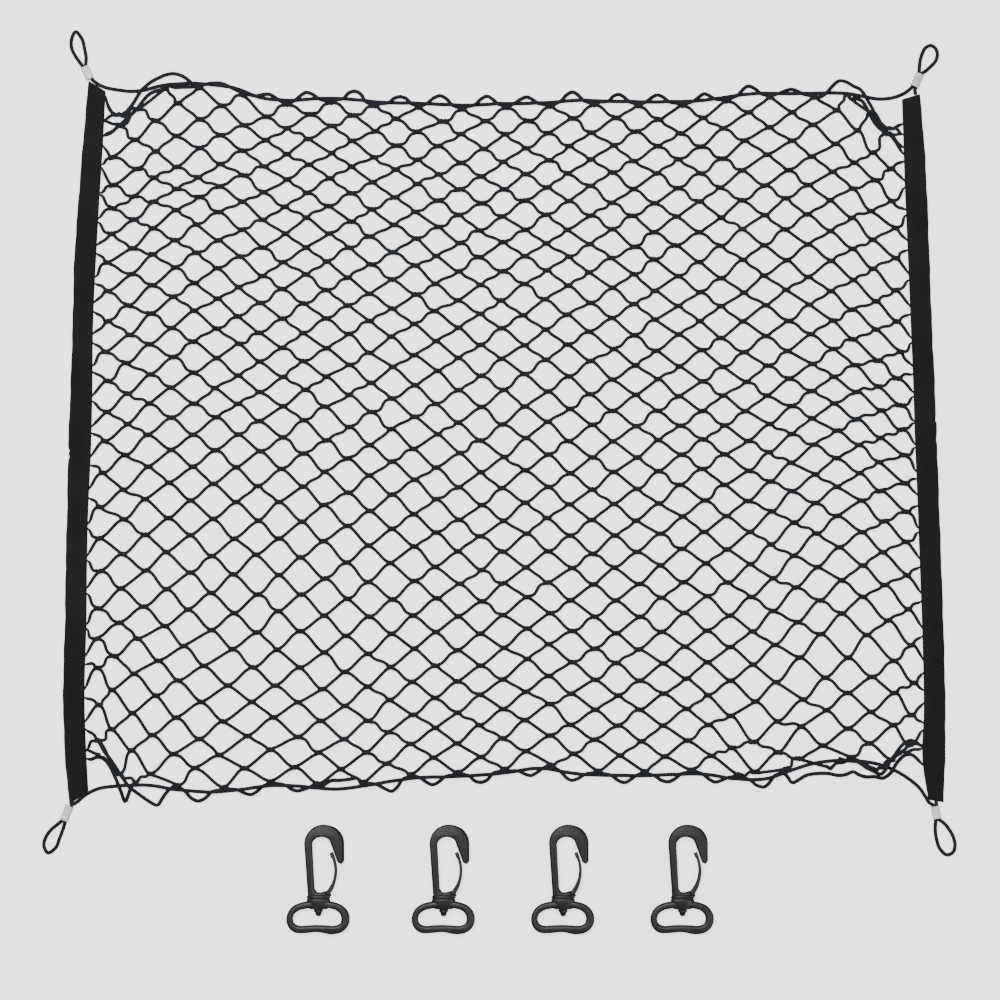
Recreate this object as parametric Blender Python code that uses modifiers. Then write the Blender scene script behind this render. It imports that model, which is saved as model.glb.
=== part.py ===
"""Cargo net: a knotted diamond mesh between two webbing bands, held along its top and
bottom by elastic cord that ends in a loop at each corner, with four loose swivel hooks.

The net lies flat on the floor. X runs across it, Y up it, Z out of the floor, and the
origin is at the middle of the whole set's footprint. Sizes below are in millimetres."""
import math

import bmesh
import bpy
import numpy as np
from mathutils import Matrix, Vector

MM = 0.001
FINE_STEPS = 60  # steps to each point of a route, to measure along its curve
PLAY = 0.3  # gap between pieces that touch
NET_PLAY = 0.8  # gap along the net's selvedge, whose run is cut in short straights

# Elastic cord and its crimped ferrules
CORD_D = 3.5
CORD_POINTS = 66
LOOP_POINTS = 22
FERRULE_WIDE = 7.6
FERRULE_HIGH = 5.0
LEG_OFFSET = 1.9  # cord centre to ferrule centre, where two cords share a ferrule
LEAD = 1.6  # straight run of a cord out of its ferrule
ENTRY_Z = FERRULE_HIGH / 2
CORD_RISE = 14.0  # run over which an edge cord comes off the floor into its ferrule
LOOP_RISE = 8.0
TAIL_FEET = {"tr": (432.2, 402.4), "br": (453.8, -330.9)}

# Webbing bands
BAND_THICK = 3.0
BAND_EDGE = 0.6  # chamfer of the folded edge
BAND_STATIONS = 20

# Net: full meshes across and down, and the strand. Places in it are counted in half
# meshes, i across and j down, with a knot wherever i + j is odd.
MESHES_ACROSS = 19
MESHES_DOWN = 22
STRAND_D = 3.0
TOP_STEPS = 3  # points along the top and bottom selvedge for each half mesh
SIDE_STEPS = 2  # the same along the straighter sides
KNOT_CLEAR = 6.5  # how near a knot may come to the net's edge, for each half mesh
ROW_STEPS = 60  # steps down the net, to add up the heights of its meshes
EDGE_POINTS = 400  # points along an edge, to read places from
SELVEDGE_THIN = 6  # of which the selvedge keeps one in so many
SAG_JOIN = 9.0  # run over which a sag comes up to its cord
CRUMPLE_SEED = 7
CRUMPLE = 1.6  # how far a knot strays in the middle of the net
CRUMPLE_AT_BANDS = 3.6
BAND_REACH = 4.0  # half meshes that are slack beside each band

# Swivel hooks, at the size made for 50 mm webbing
HOOK_X = (-188.0, -58.0, 66.0, 190.0)
HOOK_Y = -432.7  # height of the swivel groove on the floor plan
HOOK_DEPTH = 9.0
COLLAR_R = 12.3
COLLAR_LONG = 3.4
BARREL_LONG = 10.7
BARREL_FOOT_R = 10.0
BARREL_STEP = 3.0  # where the barrel starts to taper
BORE_PAST = 2.0  # how far the bore's cutter runs past the barrel
PIN_ROOT = 1.0  # how far the pin runs into the collar
PIN_R = 3.0
STUB_R = 4.4
STUB_TIP_R = 2.5
STUB_LIP = 0.01
STUB_NECK = 2.2
STUB_LONG = 6.5
GATE_PIVOT = (10.5, 6.6)
GATE_ROOT_R = 2.4
GATE_WIDE = 3.4
GATE_DEPTH = 7.0

# Corner loops. Columns: name, ferrule's outer end, ferrule's inner end, loop's route from
# one leg to the other. Each point is x, y.
CORNERS = (
    ("tl", (-431.0, 431.5), (-425.4, 418.7),
     ((-436.5, 436.5), (-441.0, 443.0), (-444.7, 451.0), (-444.8, 460.0), (-440.5, 468.0),
      (-434.5, 461.5), (-431.2, 450.0), (-429.6, 440.0))),
    ("tr", (437.0, 424.0), (431.0, 411.0),
     ((436.6, 434.0), (439.2, 445.0), (443.2, 451.6), (448.3, 453.6), (453.1, 450.6),
      (455.0, 444.0), (453.1, 437.4), (448.3, 432.0), (443.2, 427.4))),
    ("bl", (-452.6, -351.4), (-446.7, -336.5),
     ((-459.6, -356.0), (-466.6, -362.0), (-471.6, -369.4), (-473.6, -377.6), (-469.4, -385.4),
      (-461.6, -380.4), (-457.0, -369.6), (-453.4, -360.0))),
    ("br", (454.8, -349.6), (452.3, -336.8),
     ((452.8, -360.8), (454.0, -370.2), (457.4, -380.6), (465.6, -387.6), (471.6, -384.4),
      (473.4, -377.5), (471.6, -369.0), (467.2, -361.0), (461.6, -354.2))),
)

# Edge cords: the cord's own route between its two ferrules. Columns: x, y.
TOP_ROUTE = (
    (-417.6, 413.6), (-410.0, 410.2), (-396.0, 407.4), (-382.0, 406.0), (-371.0, 407.0),
    (-351.0, 412.0), (-325.0, 414.0), (-299.0, 413.0), (-271.0, 408.0), (-250.0, 400.0),
    (-221.0, 396.5), (-195.0, 398.0), (-166.0, 398.5), (-129.0, 395.0), (-72.0, 393.0),
    (-41.0, 391.5), (1.0, 393.0), (47.0, 394.0), (79.0, 396.5), (105.0, 396.0),
    (146.0, 395.0), (224.0, 398.0), (252.0, 402.5), (313.0, 403.5), (366.0, 403.0),
    (385.0, 399.0), (398.0, 398.0), (413.0, 400.6), (423.6, 405.8),
)
BOTTOM_ROUTE = (
    (-440.0, -333.2), (-432.0, -326.4), (-419.0, -319.4), (-398.0, -316.0), (-367.0, -315.0),
    (-332.0, -320.0), (-299.0, -322.0), (-269.0, -319.6), (-239.0, -315.4), (-210.0, -316.0),
    (-166.0, -319.0), (-140.0, -315.6), (-96.0, -308.4), (-27.0, -305.0), (7.0, -302.0),
    (44.0, -297.4), (73.0, -302.2), (146.0, -305.0), (216.0, -304.0), (246.0, -308.4),
    (275.0, -308.6), (299.0, -301.0), (327.0, -292.4), (365.0, -289.4), (401.0, -295.6),
    (424.0, -307.6), (437.0, -318.6), (443.0, -327.6), (446.8, -333.4),
)

# Bands, from top to bottom. Columns: outer x, outer y, inner x, inner y.
LEFT_BAND = (
    (-427.4, 415.6, -410.4, 404.8), (-430.0, 372.0, -412.6, 364.0), (-435.6, 293.0, -417.6, 293.0),
    (-440.4, 230.0, -420.8, 230.0), (-443.8, 168.0, -423.4, 168.0), (-446.0, 100.0, -424.2, 100.0),
    (-448.6, 37.0, -426.0, 37.0), (-449.6, -30.0, -428.6, -30.0), (-451.0, -81.0, -430.4, -81.0),
    (-451.8, -144.0, -431.2, -144.0), (-453.8, -223.0, -433.4, -223.0),
    (-451.6, -290.0, -431.2, -282.0), (-447.4, -334.6, -428.4, -318.0),
)
RIGHT_BAND = (
    (437.0, 402.2, 419.0, 396.8), (440.0, 360.0, 420.6, 360.0), (442.8, 319.0, 422.2, 319.0),
    (446.6, 240.0, 425.6, 240.0), (449.4, 168.0, 428.6, 168.0), (452.6, 100.0, 431.6, 100.0),
    (454.8, 54.0, 433.4, 54.0), (457.0, -20.0, 435.8, -20.0), (459.2, -81.0, 438.0, -81.0),
    (462.0, -164.0, 441.2, -164.0), (463.2, -237.0, 443.8, -237.0),
    (462.4, -290.0, 445.4, -290.0), (460.0, -331.4, 447.4, -329.0),
)

# How tall the meshes hang: short where the net is slack, tall where it is drawn out. A row
# for each quarter of the way across the net, with a column for each quarter of the way down.
MESH_TALL = (
    (28.0, 29.0, 31.0, 34.0, 37.0),
    (25.0, 29.0, 31.0, 40.0, 31.0),
    (27.0, 28.0, 33.0, 32.0, 30.0),
    (27.0, 30.0, 29.0, 33.0, 30.0),
    (31.0, 33.0, 24.0, 35.0, 32.0),
)
# Where the net's edge leaves its cord and sags to the band, from left to right. Columns: x, y.
SAG_TL = ((-407.0, 394.0), (-403.0, 386.0), (-396.0, 381.6), (-386.4, 384.6), (-377.0, 394.0),
          (-369.0, 403.0))
SAG_TR = ((377.0, 395.6), (386.4, 385.8), (396.8, 371.4), (406.0, 367.0), (412.4, 369.4))
SAG_BL = ((-426.4, -290.6), (-422.0, -286.6), (-416.0, -285.4), (-410.0, -291.4), (-403.0, -302.6),
          (-396.6, -310.6))
SAG_BR = ((396.6, -288.2), (405.0, -287.2), (419.0, -280.6), (430.0, -285.0), (436.4, -293.0))

# Outlines on the hook's own plan: x from the swivel axis, y from the swivel groove.
HEAD_OUTER = ((5.2, 57.3), (19.9, 19.5))  # centre and radii of the hook's back
HEAD_INNER = ((3.4, 56.0), (9.8, 8.4))  # centre and radii of the mouth's top
MOUTH_SPREAD = 35.0  # where the mouth's round top ends, in degrees above the right
BEAK = ((19.5, 38.4), (23.0, 36.1), (25.2, 38.9))
SPINE_FOOT = (-10.9, 2.4)
SPINE_INNER_FOOT = (-4.0, 10.3)
MOUTH_FLOOR = ((-1.4, 6.7), (2.0, 6.4))
SHOULDER = ((12.4, 2.4), (13.7, 3.8))
SOCKET_LIPS = (150.0, -40.0)  # where the gate's socket starts and ends, in degrees
GATE_LINE = ((10.5, 6.6), (14.0, 12.2), (16.8, 20.0), (18.0, 29.0), (17.5, 35.4), (15.6, 42.6),
             (13.7, 48.0))
EYE_OUTER = ((-33.4, -21.4), (-32.0, -14.6), (-25.8, -7.2), (-17.0, -3.6), (-9.0, -2.4),
             (9.0, -2.4), (17.0, -3.6), (25.4, -7.2), (31.4, -14.6), (32.6, -21.4),
             (30.4, -29.0), (24.4, -34.6), (15.6, -36.9), (-2.0, -34.6), (-16.0, -35.8),
             (-24.4, -35.2), (-30.6, -30.4))
EYE_INNER = ((-26.4, -20.8), (-24.8, -15.8), (-20.0, -12.2), (-12.0, -10.2), (12.0, -10.2),
             (18.4, -12.0), (22.4, -15.8), (23.8, -20.8), (22.4, -25.6), (17.6, -27.8),
             (-2.0, -27.0), (-20.0, -27.9), (-24.8, -25.6))

COLOURS = {  # base colour, roughness
    "net_cord": ((0.012, 0.013, 0.016), 0.8),
    "webbing": ((0.010, 0.010, 0.011), 0.85),
    "elastic": ((0.012, 0.013, 0.022), 0.7),
    "crimp": ((0.86, 0.86, 0.82), 0.35),
    "moulding": ((0.035, 0.036, 0.038), 0.45),
}


# ---------------------------------------------------------------- helpers
def clear_scene():
    for obj in list(bpy.data.objects):
        bpy.data.objects.remove(obj)


def collection(name):
    made = bpy.data.collections.new(name)
    bpy.context.scene.collection.children.link(made)
    return made


def material(slot):
    found = bpy.data.materials.get(slot)
    if found:
        return found
    made = bpy.data.materials.new(slot)
    made.use_nodes = True
    shader = made.node_tree.nodes["Principled BSDF"]
    colour, rough = COLOURS[slot]
    shader.inputs["Base Color"].default_value = (*colour, 1.0)
    shader.inputs["Roughness"].default_value = rough
    shader.inputs["Metallic"].default_value = 0.0
    made.diffuse_color = (*colour, 1.0)
    return made


def add_object(name, data, slot, home):
    obj = bpy.data.objects.new(name, data)
    data.materials.append(material(slot))
    home.objects.link(obj)
    return obj


def mesh_from(name, points, faces):
    mesh = bpy.data.meshes.new(name)
    mesh.from_pydata([Vector(p) * MM for p in points], [], faces)
    mesh.validate()
    return mesh


def smooth_path(route, count):
    """Evenly spaced points on a smooth curve through the route's points."""
    knots = np.array(route, float)
    steps = np.linalg.norm(np.diff(knots, axis=0), axis=1)
    t = np.concatenate(([0.0], np.cumsum(steps)))
    slope = np.gradient(knots, t, axis=0)
    fine = np.linspace(0.0, t[-1], FINE_STEPS * len(knots))
    seg = np.clip(np.searchsorted(t, fine, side="right") - 1, 0, len(knots) - 2)
    h = (t[seg + 1] - t[seg])[:, None]
    w = ((fine - t[seg])[:, None]) / h
    curve = ((2 * w**3 - 3 * w**2 + 1) * knots[seg] + (w**3 - 2 * w**2 + w) * h * slope[seg]
             + (3 * w**2 - 2 * w**3) * knots[seg + 1] + (w**3 - w**2) * h * slope[seg + 1])
    run = np.concatenate(([0.0], np.cumsum(np.linalg.norm(np.diff(curve, axis=0), axis=1))))
    even = np.linspace(0.0, run[-1], count)
    return np.stack([np.interp(even, run, curve[:, k]) for k in range(knots.shape[1])], axis=1)


def arc(centre, radii, start, end, steps):
    """Points on an ellipse from one angle to another, in degrees."""
    angles = np.radians(np.linspace(start, end, steps + 1))
    return [(centre[0] + radii[0] * math.cos(a), centre[1] + radii[1] * math.sin(a))
            for a in angles]


def closed_smooth(corners, steps):
    """A smooth closed outline through the corners, with some points for each of them."""
    n = len(corners)
    ring = [corners[k % n] for k in range(-2, n + 3)]
    path = smooth_path(ring, 12 * len(ring) * steps)
    start = np.argmin(np.linalg.norm(path[:len(path) // 2] - np.array(corners[0]), axis=1))
    end = len(path) // 2 + np.argmin(
        np.linalg.norm(path[len(path) // 2:] - np.array(corners[0]), axis=1))
    return [tuple(path[k]) for k in np.linspace(start, end, n * steps + 1).astype(int)[:-1]]


# ---------------------------------------------------------------- cords and ferrules
def tube(name, points, diameter, slot, home):
    curve = bpy.data.curves.new(name, "CURVE")
    curve.dimensions = "3D"
    curve.bevel_depth = diameter / 2 * MM
    curve.bevel_resolution = 2
    curve.use_fill_caps = True
    spline = curve.splines.new("POLY")
    spline.points.add(len(points) - 1)
    for spot, p in zip(spline.points, points):
        spot.co = (p[0] * MM, p[1] * MM, p[2] * MM, 1.0)
    return add_object(name, curve, slot, home)


def ferrule_frame(outer, inner):
    """The ferrule's unit direction, from its outer to its inner end, and its side."""
    along = Vector(inner) - Vector(outer)
    along.normalize()
    return along, Vector((-along.y, along.x))


def leg(outer, inner, at_inner, towards):
    """Where a cord meets a ferrule, on the side nearer to a point, and its straight lead."""
    along, side = ferrule_frame(outer, inner)
    face, out = (Vector(inner), along) if at_inner else (Vector(outer), -along)
    if side.dot(Vector(towards) - face) < 0:
        side = -side
    mouth = face + out * PLAY + side * LEG_OFFSET
    return [tuple(mouth), tuple(mouth + out * LEAD)]


def with_height(plan, lift_start, lift_end, reach=CORD_RISE):
    """Gives a flat route its height: on the floor, and up to the ferrule at lifted ends."""
    plan = np.array(plan)
    run = np.concatenate(([0.0], np.cumsum(np.linalg.norm(np.diff(plan, axis=0), axis=1))))
    low = CORD_D / 2
    rise = np.zeros(len(plan))
    if lift_start:
        rise = np.maximum(rise, 1 - run / reach)
    if lift_end:
        rise = np.maximum(rise, 1 - (run[-1] - run) / reach)
    ease = rise * rise * (3 - 2 * rise)
    return [(x, y, low + (ENTRY_Z - low) * e) for (x, y), e in zip(plan, ease)]


def corner_row(name):
    return next(row for row in CORNERS if row[0] == name)


def led_path(start, route, end, count):
    """A smooth path whose ends run straight out of their ferrules."""
    middle = smooth_path([start[1], *route, end[1]], count - 2)
    return [start[0], *map(tuple, middle), end[0]]


def edge_plan(which, count):
    """An edge cord's whole plan route, from its left ferrule to its right one."""
    route, ends = (TOP_ROUTE, ("tl", "tr")) if which == "top" else (BOTTOM_ROUTE, ("bl", "br"))
    start = leg(*corner_row(ends[0])[1:3], True, route[0])
    end = leg(*corner_row(ends[1])[1:3], True, route[-1])
    return led_path(start, route, end, count)


def make_edge_cord(which, home):
    plan = edge_plan(which, CORD_POINTS)
    tube(f"cord_{which}", with_height(plan, True, True), CORD_D, "elastic", home)


def make_corner(row, home):
    name, outer, inner, route = row
    start = leg(outer, inner, False, route[0])
    end = leg(outer, inner, False, route[-1])
    plan = led_path(start, route, end, LOOP_POINTS)
    tube(f"loop_{name}", with_height(plan, True, True, LOOP_RISE), CORD_D, "elastic", home)

    along, _ = ferrule_frame(outer, inner)
    long = (Vector(inner) - Vector(outer)).length
    bpy.ops.mesh.primitive_cylinder_add(vertices=16, radius=0.5, depth=long * MM,
                                        location=(0, 0, 0))
    obj = bpy.context.object
    obj.name = obj.data.name = f"ferrule_{name}"
    squeeze = Matrix.Diagonal((FERRULE_WIDE * MM, FERRULE_HIGH * MM, 1.0))
    lay = Matrix(((-along.y, 0, along.x), (along.x, 0, along.y), (0, 1, 0)))
    middle = (Vector(outer) + Vector(inner)) / 2
    obj.data.transform(squeeze.to_4x4())
    obj.data.transform(lay.to_4x4())
    obj.data.transform(Matrix.Translation(Vector((middle.x, middle.y, FERRULE_HIGH / 2)) * MM))
    obj.data.materials.append(material("crimp"))
    obj.data.shade_smooth()
    obj.data.set_sharp_from_angle(angle=math.radians(40))
    for other in list(obj.users_collection):
        other.objects.unlink(obj)
    home.objects.link(obj)


def make_tail(name, foot, home):
    """The cord's other strand, from the ferrule into the end of the right band."""
    plan = [*leg(*corner_row(name)[1:3], True, foot), foot]
    tube(f"tail_{name}", with_height(plan, False, False), CORD_D, "elastic", home)


# ---------------------------------------------------------------- bands
def make_band(name, stations, home):
    rows = smooth_path(stations, BAND_STATIONS)
    points = [(x, y, 0.0) for row in rows for x, y in (row[:2], row[2:])]
    flip = rows[0][0] > rows[0][2]
    faces = []
    for k in range(len(rows) - 1):
        a = 2 * k
        quad = (a, a + 2, a + 3, a + 1)
        faces.append(quad[::-1] if flip else quad)
    obj = add_object(name, mesh_from(name, points, faces), "webbing", home)
    wall = obj.modifiers.new("wall", "SOLIDIFY")
    wall.thickness = BAND_THICK * MM
    wall.offset = 1.0
    edge = obj.modifiers.new("edge", "BEVEL")
    edge.width = BAND_EDGE * MM
    edge.segments = 1
    edge.limit_method = "ANGLE"
    edge.angle_limit = math.radians(60)


# ---------------------------------------------------------------- net
def offset_curve(path, off):
    """The path moved sideways, to its left for a positive distance."""
    path = np.array(path)
    way = np.gradient(path, axis=0)
    way /= np.linalg.norm(way, axis=1)[:, None]
    return path + off * np.stack([-way[:, 1], way[:, 0]], axis=1)


def through(values, t):
    """The height at t, from 0 to 1, of a smooth curve through evenly spaced values."""
    last = len(values) - 1
    k = min(int(t * last), last - 1)
    w = t * last - k
    start, end = values[k], values[k + 1]
    before = values[k - 1] if k > 0 else 2 * start - end
    after = values[k + 2] if k + 2 <= last else 2 * end - start
    lean_in, lean_out = (end - before) / 2, (after - start) / 2
    return (start + w * lean_in + w**2 * (3 * (end - start) - 2 * lean_in - lean_out)
            + w**3 * (2 * (start - end) + lean_in + lean_out))


def read_off(curve, at, along):
    """The curve's other coordinate where it has this one, read along x (0) or y (1)."""
    order = np.argsort(curve[:, along])
    return np.interp(at, curve[order, along], curve[order, 1 - along])


def selvedge(cord, off, sag_left, sag_right, sides):
    """The net's edge beside a cord, with its sag to the band at both ends."""
    beside = offset_curve(cord, off)
    middle = beside[(beside[:, 0] > sag_left[-1][0] + SAG_JOIN)
                    & (beside[:, 0] < sag_right[0][0] - SAG_JOIN)]
    row = np.array([*sag_left, *middle[::SELVEDGE_THIN], *sag_right])
    ends = []
    for last, before, side in ((row[0], row[1], sides[0]), (row[-1], row[-2], sides[1])):
        way = last - before
        reach = abs(read_off(side, last[1], 1) - last[0])
        ends.append(last + way * reach / abs(way[0]))
    return smooth_path([ends[0], *row, ends[1]], EDGE_POINTS)


def row_share(u, v):
    """How far down the net a row lies at a place across, both from 0 to 1."""
    tall = [through(quarter, u) for quarter in zip(*MESH_TALL)]
    down = np.linspace(0.0, 1.0, ROW_STEPS)
    step = np.interp(down, np.linspace(0.0, 1.0, len(tall)), tall)
    run = np.concatenate(([0.0], np.cumsum(step[1:] + step[:-1])))
    return float(np.interp(v, down, run / run[-1]))


class NetPlan:
    """Places every knot of the net between its four edges."""

    def __init__(self):
        self.wide, self.high = 2 * MESHES_ACROSS, 2 * MESHES_DOWN
        beside_cord = CORD_D / 2 + NET_PLAY + STRAND_D / 2
        beside_band = np.array([NET_PLAY + STRAND_D / 2, 0.0])
        left = smooth_path([row[2:] for row in LEFT_BAND], EDGE_POINTS) + beside_band
        right = smooth_path([row[2:] for row in RIGHT_BAND], EDGE_POINTS) - beside_band
        self.sides = (left, right)
        self.turns = np.array([[pick(sag, key=lambda spot: spot[1]) for sag in sags]
                               for pick, sags in ((min, (SAG_TL, SAG_TR)), (max, (SAG_BL, SAG_BR)))])
        self.top = selvedge(edge_plan("top", EDGE_POINTS), -beside_cord, SAG_TL, SAG_TR, self.sides)
        self.bottom = selvedge(edge_plan("bottom", EDGE_POINTS), beside_cord, SAG_BL, SAG_BR,
                               self.sides)
        draw = np.random.default_rng(CRUMPLE_SEED)
        self.stray = draw.uniform(-1.0, 1.0, (self.wide + 1, self.high + 1, 2))

    def between(self, u, v):
        """The point a share u across and v down, in a patch blended from the four edges."""
        rows = []
        for edge, turns in zip((self.top, self.bottom), self.turns):
            x = np.interp(u * self.wide, (0, 1, self.wide - 1, self.wide),
                          (edge[0, 0], *turns[:, 0], edge[-1, 0]))
            rows.append(np.array([x, read_off(edge, x, 0)]))
        columns = []
        for side, end in zip(self.sides, (0, -1)):
            y = self.top[end, 1] + v * (self.bottom[end, 1] - self.top[end, 1])
            columns.append(np.array([read_off(side, y, 1), y]))
        top = (1 - u) * self.top[0] + u * self.top[-1]
        bottom = (1 - u) * self.bottom[0] + u * self.bottom[-1]
        return ((1 - v) * (rows[0] - top) + v * (rows[1] - bottom)
                + (1 - u) * columns[0] + u * columns[1])

    def place(self, i, j):
        """The plan point of half mesh i across and j down."""
        u = i / self.wide
        x, y = self.between(u, row_share(u, j / self.high))
        if i in (0, self.wide) and 1 <= j <= self.high - 1:
            top, bottom = self.turns[:, 0 if i == 0 else 1, 1]
            y = min(max(y, bottom + KNOT_CLEAR * (self.high - j)), top - KNOT_CLEAR * j)
            return np.array([read_off(self.sides[0 if i == 0 else 1], y, 1), y])
        if i in (0, self.wide) or j in (0, self.high):
            return np.array([x, y])
        slack = max(0.0, 1 - min(i, self.wide - i) / BAND_REACH)
        reach = CRUMPLE + (CRUMPLE_AT_BANDS - CRUMPLE) * slack
        x, y = (x, y) + self.stray[i, j] * reach
        left, right = (read_off(side, y, 1) for side in self.sides)
        x = min(max(x, left + KNOT_CLEAR * i), right - KNOT_CLEAR * (self.wide - i))
        near = x + (right - left) / self.wide * np.array([-1, 0, 1])
        top = read_off(self.top, near, 0).min() - KNOT_CLEAR * j
        bottom = read_off(self.bottom, near, 0).max() + KNOT_CLEAR * (self.high - j)
        return np.array([x, min(max(y, bottom), top)])


def net_cells():
    """The gaps that are cut, at twice the net's pitch, each a ring of places around it.

    A gap has four corners on knots, and the knots between them that its strands pass. The
    net's edge closes the gaps that it cuts through, with a run along the selvedge."""
    wide, high = MESHES_ACROSS * 2, MESHES_DOWN * 2
    around = ((-2, 0), (-1, 1), (0, 2), (1, 1), (2, 0), (1, -1), (0, -2), (-1, -1))

    def run(start, end):
        steps = SIDE_STEPS if start[0] == end[0] else TOP_STEPS
        count = int(max(abs(end[0] - start[0]), abs(end[1] - start[1])) * steps)
        return [(start[0] + (end[0] - start[0]) * k / count,
                 start[1] + (end[1] - start[1]) * k / count) for k in range(count)]

    cells = []
    for a in range(-1, wide + 2, 2):
        for b in range(0, high + 1, 2):
            if (a + b) % 4 != 3:
                continue
            ring = [(turn, (a + di, b + dj)) for turn, (di, dj) in enumerate(around)
                    if 0 <= a + di <= wide and 0 <= b + dj <= high]
            outline = []
            for k, (turn, spot) in enumerate(ring):
                next_turn, after = ring[(k + 1) % len(ring)]
                if next_turn == (turn + 1) % len(around):
                    outline.append(spot)
                elif spot[0] != after[0] and spot[1] != after[1]:
                    corner = (0 if a < wide / 2 else wide, 0 if b < high / 2 else high)
                    outline += run(spot, corner) + run(corner, after)
                else:
                    outline += run(spot, after)
            cells.append(outline)
    return cells


def make_net(home):
    plan = NetPlan()
    index, points, faces = {}, [], []
    for outline in net_cells():
        face = []
        for i, j in outline:
            key = (round(i, 4), round(j, 4))
            if key not in index:
                index[key] = len(points)
                x, y = plan.place(i, j)
                points.append((x, y, STRAND_D / 2))
            face.append(index[key])
        faces.append(face)
    obj = add_object("net", mesh_from("net", points, faces), "net_cord", home)
    strands = obj.modifiers.new("strands", "WIREFRAME")
    strands.thickness = STRAND_D * MM
    strands.use_replace = True
    strands.use_boundary = True
    strands.use_even_offset = True
    strands.use_relative_offset = False
    strands.offset = 0.0


# ---------------------------------------------------------------- swivel hooks
def flat_piece(name, loops, depth, slot, home):
    """A flat moulding: closed outlines, the first around the others, cut as holes."""
    curve = bpy.data.curves.new(name, "CURVE")
    curve.dimensions = "2D"
    curve.fill_mode = "BOTH"
    curve.extrude = depth / 2 * MM
    for loop in loops:
        spline = curve.splines.new("POLY")
        spline.points.add(len(loop) - 1)
        spline.use_cyclic_u = True
        for spot, p in zip(spline.points, loop):
            spot.co = (p[0] * MM, p[1] * MM, 0.0, 1.0)
    flat = add_object(name + "_outline", curve, slot, home)
    solid = bpy.data.meshes.new_from_object(flat.evaluated_get(bpy.context.evaluated_depsgraph_get()))
    bpy.data.objects.remove(flat)
    weld(solid)
    return add_object(name, solid, slot, home)


def weld(mesh):
    bm = bmesh.new()
    bm.from_mesh(mesh)
    bmesh.ops.remove_doubles(bm, verts=bm.verts, dist=0.000001)
    bmesh.ops.recalc_face_normals(bm, faces=bm.faces)
    bm.to_mesh(mesh)
    bm.free()


def turned(name, stations, depth_share, sides, home):
    """A closed turned piece about the Y axis, flattened in Z.

    Stations are y and radius, from the top down."""
    bm = bmesh.new()
    rings = []
    for y, r in stations:
        rings.append([bm.verts.new((r * math.cos(a) * MM, y * MM, r * math.sin(a) * depth_share * MM))
                      for a in (2 * math.pi * (k + 0.5) / sides for k in range(sides))])
    for upper, lower in zip(rings, rings[1:]):
        for k in range(sides):
            m = (k + 1) % sides
            bm.faces.new((upper[k], upper[m], lower[m], lower[k]))
    bm.faces.new(rings[0])
    bm.faces.new(rings[-1])
    bmesh.ops.recalc_face_normals(bm, faces=bm.faces)
    mesh = bpy.data.meshes.new(name)
    bm.to_mesh(mesh)
    bm.free()
    obj = bpy.data.objects.new(name, mesh)
    home.objects.link(obj)
    obj.hide_render = True
    obj.display_type = "WIRE"
    return obj


def combine(obj, other, operation):
    change = obj.modifiers.new(operation.lower(), "BOOLEAN")
    change.operation = operation
    change.solver = "EXACT"
    change.object = other


def settle(obj):
    """Turns the object's modifiers into its own mesh."""
    done = bpy.data.meshes.new_from_object(obj.evaluated_get(bpy.context.evaluated_depsgraph_get()))
    obj.modifiers.clear()
    obj.data = done
    return done


def head_outline():
    """The hook's one-piece head: spine, round back, beak and the seat of its gate."""
    (cx, cy), (rx, ry) = HEAD_OUTER
    lips = SOCKET_LIPS
    socket = arc(GATE_PIVOT, (GATE_ROOT_R + PLAY,) * 2, lips[1], lips[0] - 360.0, 8)
    mouth = arc(*HEAD_INNER, 180.0, MOUTH_SPREAD, 8)
    back = arc((cx, cy), (rx, ry), 0.0, 180.0, 14)
    return [SPINE_FOOT, *SHOULDER, *socket, *MOUTH_FLOOR[::-1], SPINE_INNER_FOOT, *mouth, *BEAK,
            *back]


def gate_outline():
    line = smooth_path(GATE_LINE, 9)
    way = np.gradient(line, axis=0)
    way /= np.linalg.norm(way, axis=1)[:, None]
    side = np.stack([-way[:, 1], way[:, 0]], axis=1) * GATE_WIDE / 2
    lean = math.degrees(math.atan2(way[0][1], way[0][0]))
    root = arc(GATE_PIVOT, (GATE_ROOT_R,) * 2, lean + 130.0, lean + 230.0, 6)
    left = [tuple(p) for p in (line + side)[1:]]
    right = [tuple(p) for p in (line - side)[1:]]
    return root + right + left[::-1]


def make_hook(number, shapes, home):
    """Places one hook: the eye, the swivelling head and the sprung gate."""
    x = HOOK_X[number - 1]
    pivots = {"eye": (0.0, 0.0), "hook": (0.0, 0.0), "gate": GATE_PIVOT}
    for part, mesh in shapes.items():
        obj = bpy.data.objects.new(f"{part}_{number}", mesh)
        px, py = pivots[part]
        obj.location = Vector((x + px, HOOK_Y + py, HOOK_DEPTH / 2)) * MM
        home.objects.link(obj)


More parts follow.
